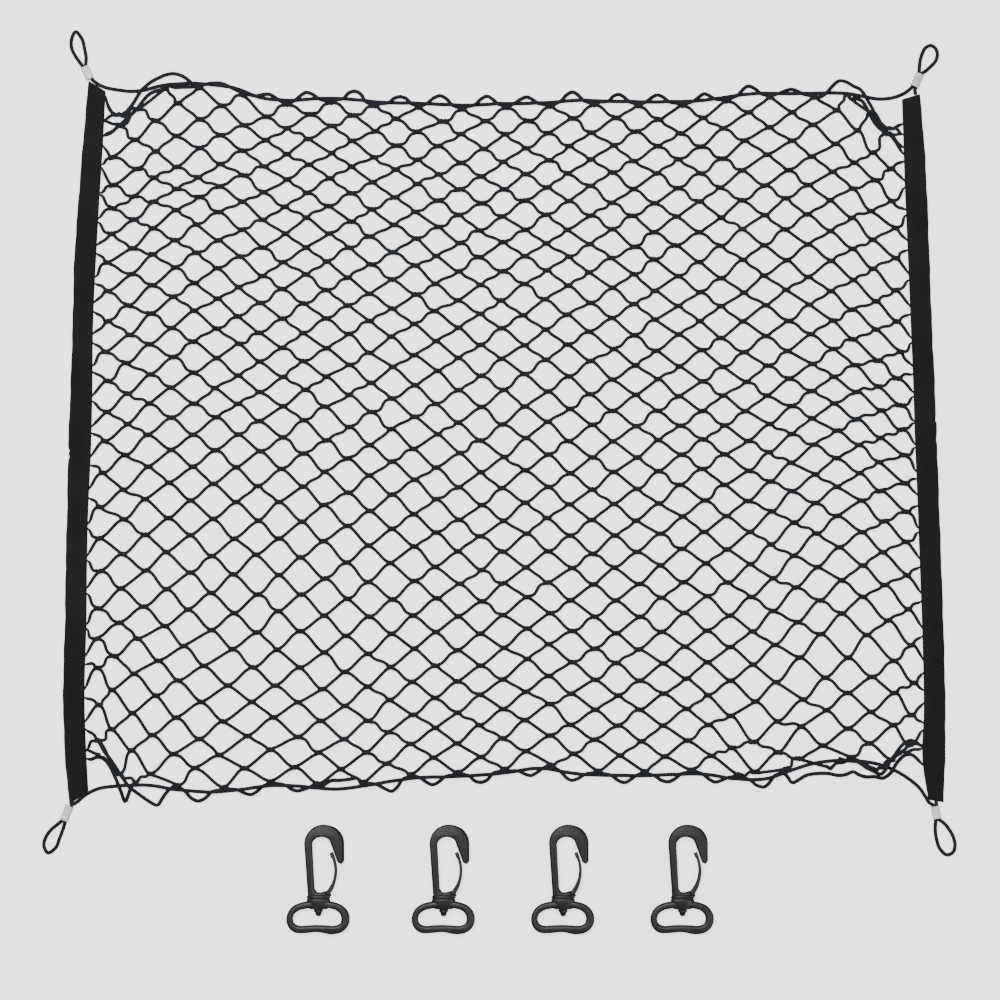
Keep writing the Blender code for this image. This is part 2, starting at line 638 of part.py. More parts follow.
def hook_shapes(home, cutters):
    """The three mouldings that every hook has, each about its own origin."""
    flat = HOOK_DEPTH / 2 / COLLAR_R
    eye = flat_piece("eye_form", [closed_smooth(EYE_OUTER, 2), closed_smooth(EYE_INNER, 2)],
                     HOOK_DEPTH, "moulding", home)
    barrel = turned("barrel_form", ((-PLAY / 2, COLLAR_R), (-BARREL_STEP, COLLAR_R),
                                    (-BARREL_LONG, BARREL_FOOT_R)), flat, 16, cutters)
    bore = turned("bore_cut", ((BORE_PAST, PIN_R + PLAY), (-BARREL_LONG - BORE_PAST, PIN_R + PLAY)),
                  1.0, 12, cutters)
    combine(eye, barrel, "UNION")
    combine(eye, bore, "DIFFERENCE")

    head = flat_piece("head_form", [head_outline()], HOOK_DEPTH, "moulding", home)
    collar = turned("collar_form", ((COLLAR_LONG, COLLAR_R), (PLAY / 2, COLLAR_R)), flat, 16,
                    cutters)
    foot = -BARREL_LONG - PLAY
    pin = turned("pin_form", ((PIN_ROOT, PIN_R), (foot, PIN_R), (foot - STUB_LIP, STUB_R),
                              (foot - STUB_NECK, STUB_R), (foot - STUB_LONG, STUB_TIP_R)), 1.0, 12,
                 cutters)
    combine(head, collar, "UNION")
    combine(head, pin, "UNION")

    gate = flat_piece("gate_form", [[(x - GATE_PIVOT[0], y - GATE_PIVOT[1])
                                     for x, y in gate_outline()]], GATE_DEPTH, "moulding", home)
    shapes = {}
    for part, form in (("eye", eye), ("hook", head), ("gate", gate)):
        shapes[part] = settle(form)
        bpy.data.objects.remove(form)
    for cutter in (barrel, bore, collar, pin):
        bpy.data.objects.remove(cutter)
    return shapes


# ---------------------------------------------------------------- the whole set
def main():
    clear_scene()
    home = collection("cargo_net")
    cutters = collection("cutters")
    make_net(home)
    make_band("band_left", LEFT_BAND, home)
    make_band("band_right", RIGHT_BAND, home)
    for which in ("top", "bottom"):
        make_edge_cord(which, home)
    for row in CORNERS:
        make_corner(row, home)
    for name, foot in TAIL_FEET.items():
        make_tail(name, foot, home)
    shapes = hook_shapes(home, cutters)
    for number in range(1, len(HOOK_X) + 1):
        make_hook(number, shapes, home)


main()
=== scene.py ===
import math

import bmesh
import bpy
import numpy as np
from mathutils import Matrix, Vector


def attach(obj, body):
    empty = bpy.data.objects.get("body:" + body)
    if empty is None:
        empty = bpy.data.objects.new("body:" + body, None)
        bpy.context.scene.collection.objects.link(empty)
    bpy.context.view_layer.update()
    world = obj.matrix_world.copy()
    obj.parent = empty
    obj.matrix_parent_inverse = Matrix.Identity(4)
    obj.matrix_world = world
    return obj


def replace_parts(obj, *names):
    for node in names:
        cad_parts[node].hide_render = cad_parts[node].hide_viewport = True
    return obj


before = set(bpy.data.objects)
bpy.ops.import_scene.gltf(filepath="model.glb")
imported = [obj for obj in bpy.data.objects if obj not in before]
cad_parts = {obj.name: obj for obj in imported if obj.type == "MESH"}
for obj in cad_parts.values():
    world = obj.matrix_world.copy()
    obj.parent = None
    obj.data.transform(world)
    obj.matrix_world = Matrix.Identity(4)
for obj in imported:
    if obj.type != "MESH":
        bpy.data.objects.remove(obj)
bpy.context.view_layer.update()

bl_info = {
    "name": "Cargo net",
    "version": (1, 0, 0),
    "blender": (4, 5, 0),
    "location": "3D View > Sidebar > Cargo net",
    "description": "Dresses a knotted cargo net, its bands, cords, crimps and swivel hooks",
    "category": "Object",
}

# The net lies flat on the floor. X runs across it, Y up it and Z out of the floor. Tables
# are in millimetres, as in the part's source, and the properties are in metres.
MM = 0.001
FINE_STEPS = 60  # steps to each point of a route, to measure along its curve
EDGE_POINTS = 400  # points along an edge, to read places from
SELVEDGE_THIN = 6  # the selvedge keeps one in so many of them
SAG_JOIN = 9.0  # run over which a sag comes up to its cord
OUTLINE_FINE = 12  # steps of an outline, to pick each of its points from
DOUBLES = 0.000002  # in metres: points nearer than this are merged

# Cords and crimps
CORD_D = 3.5
LEG_OFFSET = 1.9  # cord centre to crimp centre, where two cords share a crimp
LEAD = 1.6  # straight run of a cord out of its crimp
PLAY = 0.3  # gap between two pieces
FERRULE_HIGH = 5.0
CORD_RISE = 14.0  # run over which an edge cord comes off the floor into its crimp
LOOP_RISE = 8.0
TUCK = 2.5  # how far a cord runs on inside its crimp
LOOP_STEPS = 56
TAIL_STEPS = 12
LIFT = 2.7  # how far a cord rises over a strand that passes under it
SELVEDGE_OFF = 4.05  # net's edge to the cord's centre

# Net, counted in half meshes: i across and j down, with a knot wherever i + j is odd
MESHES_ACROSS = 19
MESHES_DOWN = 22
KNOT_CLEAR = 6.5  # how near a knot may come to the net's edge, for each half mesh
ROW_STEPS = 60  # steps down the net, to add up the heights of its meshes
CRUMPLE_SEED = 7
CRUMPLE = 1.3  # how far a knot strays in the middle of the net
CRUMPLE_AT_BANDS = 2.4
BAND_REACH = 4.0  # half meshes that are slack beside each band
HIDDEN = 7.0  # how far inside a band the outermost knots lie
BAND_MIDDLE = 1.7  # height of the twine between a band's layers
PINCH = 0.5  # how much thinner it is pressed there
BESIDE_BAND = 12.0  # a band's edge to the first knots that show
SAG_FADE = 3.5  # half meshes over which a corner's pull dies away down the net
SOFTENINGS = 2  # times that a twine's path is averaged with its neighbours
PINCH_RUN = 3.0  # run over which the twine is pressed thin at a band's edge
SLOPE_REACH = 4.0  # run to each side of a knot, to read the net edge's slope from
NET_THIRDS = (("upper", 0, 15), ("middle", 15, 30), ("lower", 30, 2 * MESHES_DOWN))

# Corner loops. Columns: name, crimp's outer end, crimp's inner end, loop's route from one
# leg to the other. Each point is x, y.
CORNERS = (
    ("tl", (-431.0, 431.5), (-425.4, 418.7),
     ((-436.5, 436.5), (-441.0, 443.0), (-444.7, 451.0), (-444.8, 460.0), (-440.5, 468.0),
      (-434.5, 461.5), (-431.2, 450.0), (-429.6, 440.0))),
    ("tr", (437.0, 424.0), (431.0, 411.0),
     ((436.6, 434.0), (439.2, 445.0), (443.2, 451.6), (448.3, 453.6), (453.1, 450.6),
      (455.0, 444.0), (453.1, 437.4), (448.3, 432.0), (443.2, 427.4))),
    ("bl", (-452.6, -351.4), (-446.7, -336.5),
     ((-459.6, -356.0), (-466.6, -362.0), (-471.6, -369.4), (-473.6, -377.6), (-469.4, -385.4),
      (-461.6, -380.4), (-457.0, -369.6), (-453.4, -360.0))),
    ("br", (454.8, -349.6), (452.3, -336.8),
     ((452.8, -360.8), (454.0, -370.2), (457.4, -380.6), (465.6, -387.6), (471.6, -384.4),
      (473.4, -377.5), (471.6, -369.0), (467.2, -361.0), (461.6, -354.2))),
)
TAIL_FEET = {"tr": (432.2, 402.4), "br": (453.8, -330.9)}

# Edge cords: the cord's own route between its two crimps. Columns: x, y.
ROUTES = {
    "top": (
        (-417.6, 413.6), (-410.0, 410.2), (-396.0, 407.4), (-382.0, 406.0), (-371.0, 407.0),
        (-351.0, 412.0), (-325.0, 414.0), (-299.0, 413.0), (-271.0, 408.0), (-250.0, 400.0),
        (-221.0, 396.5), (-195.0, 398.0), (-166.0, 398.5), (-129.0, 395.0), (-72.0, 393.0),
        (-41.0, 391.5), (1.0, 393.0), (47.0, 394.0), (79.0, 396.5), (105.0, 396.0),
        (146.0, 395.0), (224.0, 398.0), (252.0, 402.5), (313.0, 403.5), (366.0, 403.0),
        (385.0, 399.0), (398.0, 398.0), (413.0, 400.6), (423.6, 405.8),
    ),
    "bottom": (
        (-440.0, -333.2), (-432.0, -326.4), (-419.0, -319.4), (-398.0, -316.0), (-367.0, -315.0),
        (-332.0, -320.0), (-299.0, -322.0), (-269.0, -319.6), (-239.0, -315.4), (-210.0, -316.0),
        (-166.0, -319.0), (-140.0, -315.6), (-96.0, -308.4), (-27.0, -305.0), (7.0, -302.0),
        (44.0, -297.4), (73.0, -302.2), (146.0, -305.0), (216.0, -304.0), (246.0, -308.4),
        (275.0, -308.6), (299.0, -301.0), (327.0, -292.4), (365.0, -289.4), (401.0, -295.6),
        (424.0, -307.6), (437.0, -318.6), (443.0, -327.6), (446.8, -333.4),
    ),
}
EDGE_CORNERS = {"top": ("tl", "tr"), "bottom": ("bl", "br")}
OUTSIDE = {"top": 1, "bottom": -1}  # the side of its cord that lies off the net

# Bands, from top to bottom. Columns: outer x, outer y, inner x, inner y.
LEFT_BAND = (
    (-427.2, 417.1, -409.9, 406.4), (-431.4, 372.0, -412.0, 364.0), (-437.8, 293.0, -416.4, 293.0),
    (-442.2, 230.0, -420.0, 230.0), (-443.8, 168.0, -422.8, 168.0), (-446.0, 100.0, -423.6, 100.0),
    (-448.4, 37.0, -425.0, 37.0), (-449.6, -30.0, -428.0, -30.0), (-451.0, -81.0, -429.2, -81.0),
    (-451.8, -144.0, -429.8, -144.0), (-453.8, -223.0, -431.8, -223.0),
    (-451.4, -290.0, -430.0, -282.0), (-447.2, -335.8, -427.8, -321.2),
)
RIGHT_BAND = (
    (437.0, 403.2, 418.8, 397.8), (441.0, 360.0, 420.2, 360.0), (443.6, 319.0, 421.4, 319.0),
    (446.8, 240.0, 424.8, 240.0), (449.4, 168.0, 427.8, 168.0), (452.6, 100.0, 430.6, 100.0),
    (454.4, 54.0, 432.0, 54.0), (457.0, -20.0, 435.0, -20.0), (459.2, -81.0, 437.2, -81.0),
    (462.0, -164.0, 440.2, -164.0), (463.6, -237.0, 441.6, -237.0),
    (463.2, -290.0, 440.2, -290.0), (461.6, -332.8, 446.2, -330.2),
)

# How tall the meshes hang: short where the net is slack, tall where it is drawn out. A row
# for each quarter of the way across the net, with a column for each quarter of the way down.
MESH_TALL = (
    (28.0, 29.0, 31.0, 34.0, 37.0),
    (25.0, 29.0, 31.0, 40.0, 31.0),
    (27.0, 28.0, 33.0, 32.0, 30.0),
    (27.0, 30.0, 29.0, 33.0, 30.0),
    (31.0, 33.0, 24.0, 35.0, 32.0),
)
# Where the net's edge leaves its cord and sags to the band, from left to right. Columns: x, y.
SAG_TL = ((-407.0, 394.0), (-403.0, 386.0), (-396.0, 381.6), (-386.4, 384.6), (-377.0, 394.0),
          (-369.0, 403.0))
SAG_TR = ((377.0, 395.6), (386.4, 385.8), (396.8, 371.4), (406.0, 367.0), (412.4, 369.4))
SAG_BL = ((-426.4, -290.6), (-422.0, -286.6), (-416.0, -285.4), (-410.0, -291.4), (-403.0, -302.6),
          (-396.6, -310.6))
SAG_BR = ((396.6, -288.2), (405.0, -287.2), (419.0, -280.6), (430.0, -285.0), (436.4, -293.0))

# Where some of the net's knots meet the cords. Columns: half meshes across, x.
MEETS = {"top": ((4, -335.0), (34, 350.3)), "bottom": ((4, -360.9), (34, 366.6))}

# Knots of the corners, which their gathered strands draw out of line. Columns: half meshes
# across and down, x, y.
DRAWN_KNOTS = (
    (3, 0, -347.5, 409.0), (2, 1, -375.9, 387.3), (4, 1, -334.3, 393.4), (1, 2, -394.0, 370.2),
    (3, 2, -357.0, 375.2), (5, 2, -311.6, 376.7), (2, 3, -378.2, 355.5), (4, 3, -335.8, 359.4),
    (1, 4, -401.6, 337.3), (3, 4, -357.0, 343.4), (2, 5, -376.7, 325.2), (4, 5, -335.8, 327.3),
    (35, 0, 361.0, 401.0), (34, 1, 350.4, 386.1), (36, 1, 385.5, 383.8), (32, 1, 304.3, 384.0),
    (33, 2, 325.5, 371.0), (35, 2, 371.9, 365.2), (37, 2, 401.9, 361.9), (34, 3, 349.1, 351.2),
    (36, 3, 387.6, 342.2), (35, 4, 368.6, 331.6),
    (1, 38, -417.7, -193.1), (3, 38, -379.8, -199.2), (2, 39, -402.5, -215.9),
    (4, 39, -357.0, -221.9), (1, 40, -416.1, -231.6), (3, 40, -381.3, -240.1),
    (5, 40, -335.8, -244.7), (2, 41, -402.5, -256.8), (4, 41, -360.7, -262.9),
    (1, 42, -416.7, -268.9), (3, 42, -382.2, -278.9), (5, 42, -338.8, -282.6),
    (2, 43, -394.9, -303.2), (4, 43, -362.5, -303.2), (6, 43, -316.1, -297.1),
    (34, 39, 361.9, -219.2), (36, 39, 410.4, -219.2), (35, 40, 386.1, -238.9),
    (32, 41, 313.4, -254.1), (34, 41, 361.9, -256.2), (36, 41, 408.9, -252.5),
    (33, 42, 336.1, -273.8), (35, 42, 384.6, -271.6), (32, 43, 311.9, -287.4),
    (34, 43, 364.9, -285.9), (33, 44, 343.7, -296.8), (35, 44, 391.6, -298.4),
)
DRAWN_REACH = 1.6  # half meshes over which they draw their neighbours along

# The border strand stands out beside its cord in each space between two knots, within its
# range or by what the humps say for the spaces that differ. Below nought it stays on the
# net's side.
BORDER_SPACES = {"top": (2, 16), "bottom": (3, 15)}  # first and last that it winds through
BORDER_RANGE = {"top": (6.0, 9.0), "bottom": (6.5, 9.0)}
BORDER_HUMPS = {"top": {2: -3.6, 3: 2.6, 4: 5.0, 16: 4.5},
                "bottom": {3: 10.0, 5: 5.0, 6: -9.0, 7: 10.5}}
BORDER_SEEDS = {"top": 21, "bottom": 22}
BORDER_LEAN = 0.08  # share of its space that a hump may stray along the cord
BORDER_STEPS = 26
# Its turn round the cord. Columns: share of the space, share of the hump, height.
BORDER_TURN = ((0.2, 0.0, CORD_D + 0.1), (0.36, 0.7, 1.0), (0.5, 1.0, 0.0), (0.64, 0.68, 0.0),
               (0.8, 0.0, 0.0))

# Strands drawn together in the net's corners, from left to right. Columns: x, y. Each passes
# over its cord at the first crossing, or at the last in the bottom right corner, and under it
# at the others.
GATHERED = {
    "tl_upper": (
        (-414.0, 406.0), (-409.9, 401.5), (-407.0, 391.4), (-401.3, 383.1), (-396.1, 381.2),
        (-390.2, 383.1), (-382.8, 390.6), (-376.1, 400.3), (-369.4, 409.1), (-362.0, 415.8),
        (-354.5, 419.8), (-347.2, 423.0), (-338.2, 424.3), (-330.8, 422.4), (-323.3, 417.6),
        (-318.1, 412.6), (-312.4, 407.2)),
    "tl_lower": (
        (-417.5, 357.6), (-412.5, 359.4), (-403.6, 363.1), (-397.7, 368.4), (-391.7, 373.6),
        (-384.3, 380.2), (-376.9, 387.6), (-370.9, 395.6), (-365.0, 402.2), (-359.0, 405.6),
        (-352.0, 407.4)),
    "tr_upper": (
        (326.0, 398.8), (335.4, 400.9), (340.6, 405.1), (345.8, 411.3), (353.6, 417.0),
        (360.4, 415.7), (368.2, 411.2), (374.9, 408.0), (379.6, 402.0), (383.5, 395.0),
        (387.2, 388.6), (391.0, 380.9), (396.1, 373.6), (401.2, 368.7), (406.3, 366.8),
        (411.4, 368.5), (415.3, 370.8), (424.0, 373.6)),
    "tr_lower": (
        (366.4, 399.4), (377.0, 395.7), (381.0, 389.5), (384.6, 382.7), (388.4, 375.4),
        (394.0, 368.3), (401.4, 363.1), (408.8, 358.8), (413.9, 352.0), (419.6, 347.9),
        (426.0, 346.0)),
    "bl_first": (
        (-436.0, -286.6), (-428.9, -287.7), (-424.4, -288.2), (-419.9, -286.3), (-415.5, -285.9),
        (-409.6, -289.1), (-405.1, -295.0), (-400.6, -304.0), (-396.1, -312.9), (-393.2, -321.8),
        (-388.8, -332.6), (-385.4, -324.0), (-382.2, -316.2), (-378.6, -311.6)),
    "bl_second": (
        (-417.6, -266.0), (-414.6, -273.0), (-411.0, -279.6), (-405.2, -287.0), (-399.8, -295.0),
        (-394.6, -303.2), (-388.8, -310.8), (-383.4, -317.6), (-377.4, -322.5), (-370.3, -327.7),
        (-361.8, -333.3), (-356.1, -336.0), (-350.1, -328.3), (-345.4, -321.8), (-338.4, -316.0)),
    "br_first": (
        (292.0, -299.6), (299.0, -305.8), (304.2, -312.6), (310.9, -309.4), (318.8, -304.8),
        (329.2, -303.0), (340.6, -302.8), (354.1, -304.9), (361.4, -303.5), (367.5, -301.0),
        (373.5, -304.2), (380.8, -306.4), (389.8, -306.2), (398.7, -307.7), (404.7, -303.3),
        (410.6, -295.0), (416.5, -287.7), (422.4, -283.4), (428.4, -283.4), (433.2, -286.9),
        (438.0, -292.1), (446.0, -298.6)),
    "br_second": (
        (352.0, -287.0), (361.0, -289.6), (371.9, -290.8), (380.8, -296.5), (389.8, -301.0),
        (396.4, -303.6), (400.0, -299.6), (404.6, -291.6), (410.4, -284.0), (415.4, -277.0),
        (421.0, -271.0), (427.4, -268.4), (433.6, -270.8), (439.2, -275.4), (447.0, -280.0)),
}
GATHERED_STEPS = 3  # to each point of a route
CROSS_RISE = 7.0  # run over which a strand or a cord climbs over the other
CROSS_HIGH = CORD_D + 0.4

# Bands: where the folded edge puckers. Columns: side, y, depth.
PUCKERS = (("left", 32.0, 1.6), ("left", 26.0, 1.2),
           ("right", 65.5, 1.4), ("right", 44.7, 1.2))
PUCKER_RUN = 2.2
STITCH_THREAD = 0.00038  # in metres
STITCH_LONG = 0.8  # share of the spacing
STITCH_FLAT = 0.7  # its height as a share of its width

# Swivel hooks, on the hook's own plan: x from the swivel axis, y from the swivel groove
HOOK_X = (-188.0, -58.0, 66.0, 190.0)
HOOK_Y = -432.7
HOOK_DEPTH = 9.0
COLLAR_R = 12.3
COLLAR_LONG = 3.4
BARREL_LONG = 10.7
BARREL_FOOT_R = 10.0
PIN_R = 3.0
STUB_R = 4.7  # the pin's snapped-in end
GATE_PIVOT = (10.5, 6.6)
GATE_ROOT_R = 2.4
GATE_DEPTH = 7.0
# The gate's sides. Columns: share of its length, left half width, right half width.
GATE_SIDES = ((0.0, 2.3, 2.3), (0.12, 2.3, 2.2), (0.35, 1.6, 1.6), (0.86, 1.4, 1.4),
              (0.9, 2.3, 1.5), (1.0, 2.3, 1.5))
GATE_STEPS = 40
GATE_ROUNDING = 0.9
GATE_ROOT_ARC = (100.0, 260.0)  # degrees from the gate's own way
# The fine ridges on the gate's lower half
GATE_RIDGES = (-0.8, 0.8)  # from its middle line
RIDGE_STEPS = slice(3, 22)  # of the gate's
RIDGE_HALF = 0.28
RIDGE_CLOSING = 0.5  # share of their distance that is left at their far ends
RIDGE_UP = 0.35
RIDGE_ROUNDING = 0.2
RING_DEPTH = 6.6
RING_ROUNDING = 2.6
RING_STEPS = 4  # to each point of the eye
TURNED_SIDES = 40
STUB_SIDES = 24
WALL_LEAN = 2.0  # how far the back's wall stands out at the floor, on the gate's side
LEAN_X, LEAN_Y = (9.0, 17.0), (30.0, 36.0)  # where it begins and where it is full
HEAD_SUNK = 0.45  # how far the moulding lies under its raised face
FACE_ROUNDING = 0.55
SOCKET_STEPS, MOUTH_STEPS, BACK_STEPS = 12, 16, 32
# The raised face of the head and spine, inside the moulding's edges
FACE_INSET = 1.3
FACE_WALL_INSET = 2.7  # on the gate's side
FACE_SPINE_SHARE = 0.57  # of the spine's width
FACE_ENDS = (3.5, 48.0)  # y where it begins, and where it widens from the spine
FACE_BEAK = ((22.5, 41.0), (22.2, 38.7), (20.5, 39.9))
FIT = 0.04  # gap that shows between two turned faces
# The head's round back and the round top of its mouth. Columns: centre, radii.
HEAD_OUTER = ((5.2, 57.3), (19.9, 19.5))
HEAD_INNER = ((3.4, 56.0), (9.8, 8.4))
MOUTH_SPREAD = 35.0  # degrees at which the mouth's round top turns down along the beak
BEAK = ((19.5, 38.4), (23.0, 36.1), (25.2, 38.9))
SPINE_FOOT = (-10.9, 2.4)
SPINE_INNER_FOOT = (-4.0, 10.3)
MOUTH_FLOOR = ((-1.4, 6.7), (2.0, 6.4))
SHOULDER = ((12.4, 2.4), (13.7, 3.8))
SOCKET_LIPS = (150.0, -40.0)  # degrees of the far and the near lip, round the gate's root
GATE_LINE = ((10.5, 6.6), (14.0, 12.2), (16.8, 20.0), (18.0, 29.0), (17.5, 35.4), (15.6, 42.6),
             (13.7, 48.0))
EYE_OUTER = ((-33.4, -21.4), (-32.0, -14.6), (-25.8, -7.2), (-17.0, -3.6), (-9.0, -2.4),
             (9.0, -2.4), (17.0, -3.6), (25.4, -7.2), (31.4, -14.6), (32.6, -21.4),
             (30.4, -29.0), (24.4, -34.6), (15.6, -36.9), (-2.0, -34.6), (-16.0, -35.8),
             (-24.4, -35.2), (-30.6, -30.4))
EYE_INNER = ((-26.4, -20.8), (-24.8, -15.8), (-20.0, -12.2), (-12.0, -10.2), (12.0, -10.2),
             (18.4, -12.0), (22.4, -15.8), (23.8, -20.8), (22.4, -25.6), (17.6, -27.8),
             (8.0, -27.5), (-2.0, -27.2), (-11.0, -27.5), (-20.0, -27.9), (-24.8, -25.6))

# Finishes. Scales are in turns to the metre and bumps in metres.
MOTTLE_STOPS = (0.3, 0.75)
FIBRE_SPECULAR = 0.2
# In each look, groove_shade is how far the colour is darkened in the grooves and lightened on the
# crests about base, as painted shade.
STRANDED_LOOK = {"sheen": 0.06, "sheen_rough": 0.6, "fuzz": 2600.0, "fuzz_high": 0.6,
                 "ridge_high": 0.5, "bump": 0.00016, "spread": 0.45, "patch": 60.0,
                 "groove_shade": 0.22, "base": 0.9}
WEBBING_LOOK = {"sheen": 0.05, "sheen_rough": 0.5, "fuzz": 1800.0, "fuzz_high": 0.4,
                "ridge_high": 1.0, "bump": 0.00022, "spread": 0.3, "patch": 22.0,
                "groove_shade": 0.5, "base": 0.75}
WEBBING_ROUGH = 0.82
HERRINGBONE_RIBS = 4  # to each half of its zigzag
HERRINGBONE_LEAN = 0.9
WARP_SHARE = 0.8  # spacing of the lengthwise ribs, as a share of a rib
FLOW_SCALE = 90.0
FLOW_HIGH = 0.6
GRAIN_BUMP = 0.00006
RUBBED = (-0.08, 0.1)  # change of the roughness in the rubbed patches and between them
PLASTIC_SPREAD = 0.2
PLASTIC_PATCH = 45.0

# Stage, in metres but for the floor. Lights' columns: name, place, size, power.
LIGHTS = (("key_light", (-0.5, 0.7, 2.3), 1.6, 78.0), ("fill_light", (1.5, -0.9, 1.8), 1.0, 14.0))
DAYLIGHT = 0.1
FLOOR_HALF = 15000.0
FLOOR_UNDER = 0.05  # how far the floor lies below the net
FLOOR_COLOUR = (0.93, 0.935, 0.935)
FLOOR_ROUGH = 0.9
FLOOR_GLOW = 1.6

# Turned pieces of a hook. Columns: y, radius.
BARREL = ((-FIT / 2, COLLAR_R - 1.0), (-FIT / 2 - 0.5, COLLAR_R - 0.2), (-1.1, COLLAR_R),
          (-3.0, COLLAR_R), (-BARREL_LONG + 0.8, BARREL_FOOT_R),
          (-BARREL_LONG + 0.2, BARREL_FOOT_R - 0.5), (-BARREL_LONG, BARREL_FOOT_R - 1.4))
COLLAR = ((COLLAR_LONG, COLLAR_R - 1.6), (COLLAR_LONG - 0.5, COLLAR_R - 0.5),
          (2.2, COLLAR_R - 0.2), (1.9, COLLAR_R - 0.9), (1.6, COLLAR_R), (0.7, COLLAR_R),
          (FIT / 2, COLLAR_R - 1.1))
STUB_TOP = -BARREL_LONG - FIT
STUB = ((STUB_TOP, PIN_R), (STUB_TOP - 0.05, STUB_R - 0.3), (STUB_TOP - 0.4, STUB_R),
        (STUB_TOP - 2.6, STUB_R), (STUB_TOP - 2.9, STUB_R - 0.9), (STUB_TOP - 5.0, 3.1),
        (STUB_TOP - 6.7, 2.6), (STUB_TOP - 7.1, 1.9))

# Camera
SENSOR_WIDE = 36.0
VIEW_CENTRE = (0.52, -18.7)
VIEW_WIDE = 1040.0
CAMERA_UP = 2600.0


# ---------------------------------------------------------------- sizes and colours
class NetSizes(bpy.types.PropertyGroup):
    twine: bpy.props.FloatProperty(
        name="Twine", description="Thickness of the net's twine", default=0.0037,
        unit="LENGTH")
    border: bpy.props.FloatProperty(
        name="Border twine", description="Thickness of the strands along the net's edges",
        default=0.0041, unit="LENGTH")
    sides: bpy.props.IntProperty(
        name="Sides", description="Facets round the twine", default=7, min=5, max=12)
    knot_long: bpy.props.FloatProperty(
        name="Knot length", description="Length of the twist where two twines meet",
        default=0.0062, unit="LENGTH")
    knot_reach: bpy.props.FloatProperty(
        name="Knot radius", description="Knot's centre to each twine's centre",
        default=0.00145, unit="LENGTH")
    bar_long: bpy.props.FloatProperty(
        name="Bar length", description="Twine from knot to knot, pulled straight",
        default=0.0282, unit="LENGTH")
    colour: bpy.props.FloatVectorProperty(
        name="Twine colour", description="Colour of the twine", subtype="COLOR",
        size=3, min=0.0, max=1.0, default=(0.010, 0.013, 0.017))


class CordSizes(bpy.types.PropertyGroup):
    cord: bpy.props.FloatProperty(
        name="Cord", description="Thickness of the elastic cord over its braid",
        default=0.0040, unit="LENGTH")
    sides: bpy.props.IntProperty(
        name="Sides", description="Facets round the elastic cord", default=14, min=8, max=24)
    colour: bpy.props.FloatVectorProperty(
        name="Cord colour", description="Colour of the elastic cord", subtype="COLOR",
        size=3, min=0.0, max=1.0, default=(0.009, 0.010, 0.017))
    crimp_colour: bpy.props.FloatVectorProperty(
        name="Crimp colour", description="Colour of the crimped sleeves", subtype="COLOR",
        size=3, min=0.0, max=1.0, default=(0.84, 0.84, 0.80))


class BandSizes(bpy.types.PropertyGroup):
    webbing: bpy.props.FloatProperty(
        name="Webbing", description="Thickness of one layer of webbing", default=0.0010,
        unit="LENGTH")
    thick: bpy.props.FloatProperty(
        name="Folded thickness", description="Thickness of the folded band", default=0.0034,
        unit="LENGTH")
    rib: bpy.props.FloatProperty(
        name="Rib", description="Spacing of the weave's ribs", default=0.0009, unit="LENGTH")
    stitch: bpy.props.FloatProperty(
        name="Stitch", description="Spacing of the stitches", default=0.0036, unit="LENGTH")
    colour: bpy.props.FloatVectorProperty(
        name="Webbing colour", description="Colour of the webbing", subtype="COLOR",
        size=3, min=0.0, max=1.0, default=(0.011, 0.011, 0.012))


class HookSizes(bpy.types.PropertyGroup):
    rounding: bpy.props.FloatProperty(
        name="Rounding", description="Radius of the mouldings' edges", default=0.0017,
        unit="LENGTH")
    colour: bpy.props.FloatVectorProperty(
        name="Moulding colour", description="Colour of the moulded hooks", subtype="COLOR",
        size=3, min=0.0, max=1.0, default=(0.0125, 0.0128, 0.0136))


# ---------------------------------------------------------------- routes
def smooth_path(route, count):
    """Evenly spaced points on a smooth curve through the route's points."""
    knots = np.array(route, float)
    steps = np.linalg.norm(np.diff(knots, axis=0), axis=1)
    t = np.concatenate(([0.0], np.cumsum(steps)))
    slope = np.gradient(knots, t, axis=0)
    fine = np.linspace(0.0, t[-1], FINE_STEPS * len(knots))
    seg = np.clip(np.searchsorted(t, fine, side="right") - 1, 0, len(knots) - 2)
    h = (t[seg + 1] - t[seg])[:, None]
    w = ((fine - t[seg])[:, None]) / h
    curve = ((2 * w**3 - 3 * w**2 + 1) * knots[seg] + (w**3 - 2 * w**2 + w) * h * slope[seg]
             + (3 * w**2 - 2 * w**3) * knots[seg + 1] + (w**3 - w**2) * h * slope[seg + 1])
    run = lengths_along(curve)
    even = np.linspace(0.0, run[-1], count)
    return np.stack([np.interp(even, run, curve[:, k]) for k in range(knots.shape[1])], axis=1)


def lengths_along(path):
    return np.concatenate(([0.0], np.cumsum(np.linalg.norm(np.diff(path, axis=0), axis=1))))


def arc(centre, radii, start, end, steps):
    """Points on an ellipse from one angle to another, in degrees."""
    angles = np.radians(np.linspace(start, end, steps + 1))
    return [(centre[0] + radii[0] * math.cos(a), centre[1] + radii[1] * math.sin(a))
            for a in angles]


def closed_smooth(corners, steps):
    """A smooth closed outline through the corners, with some points for each of them."""
    n = len(corners)
    ring = [corners[k % n] for k in range(-2, n + 3)]
    path = smooth_path(ring, OUTLINE_FINE * len(ring) * steps)
    half = len(path) // 2
    start = np.argmin(np.linalg.norm(path[:half] - np.array(corners[0]), axis=1))
    end = half + np.argmin(np.linalg.norm(path[half:] - np.array(corners[0]), axis=1))
    return [tuple(path[k]) for k in np.linspace(start, end, n * steps + 1).astype(int)[:-1]]


def sideways(path):
    """The unit direction to the left of the path at each of its points."""
    way = np.gradient(np.array(path)[:, :2], axis=0)
    way /= np.linalg.norm(way, axis=1)[:, None]
    return np.stack([-way[:, 1], way[:, 0]], axis=1)


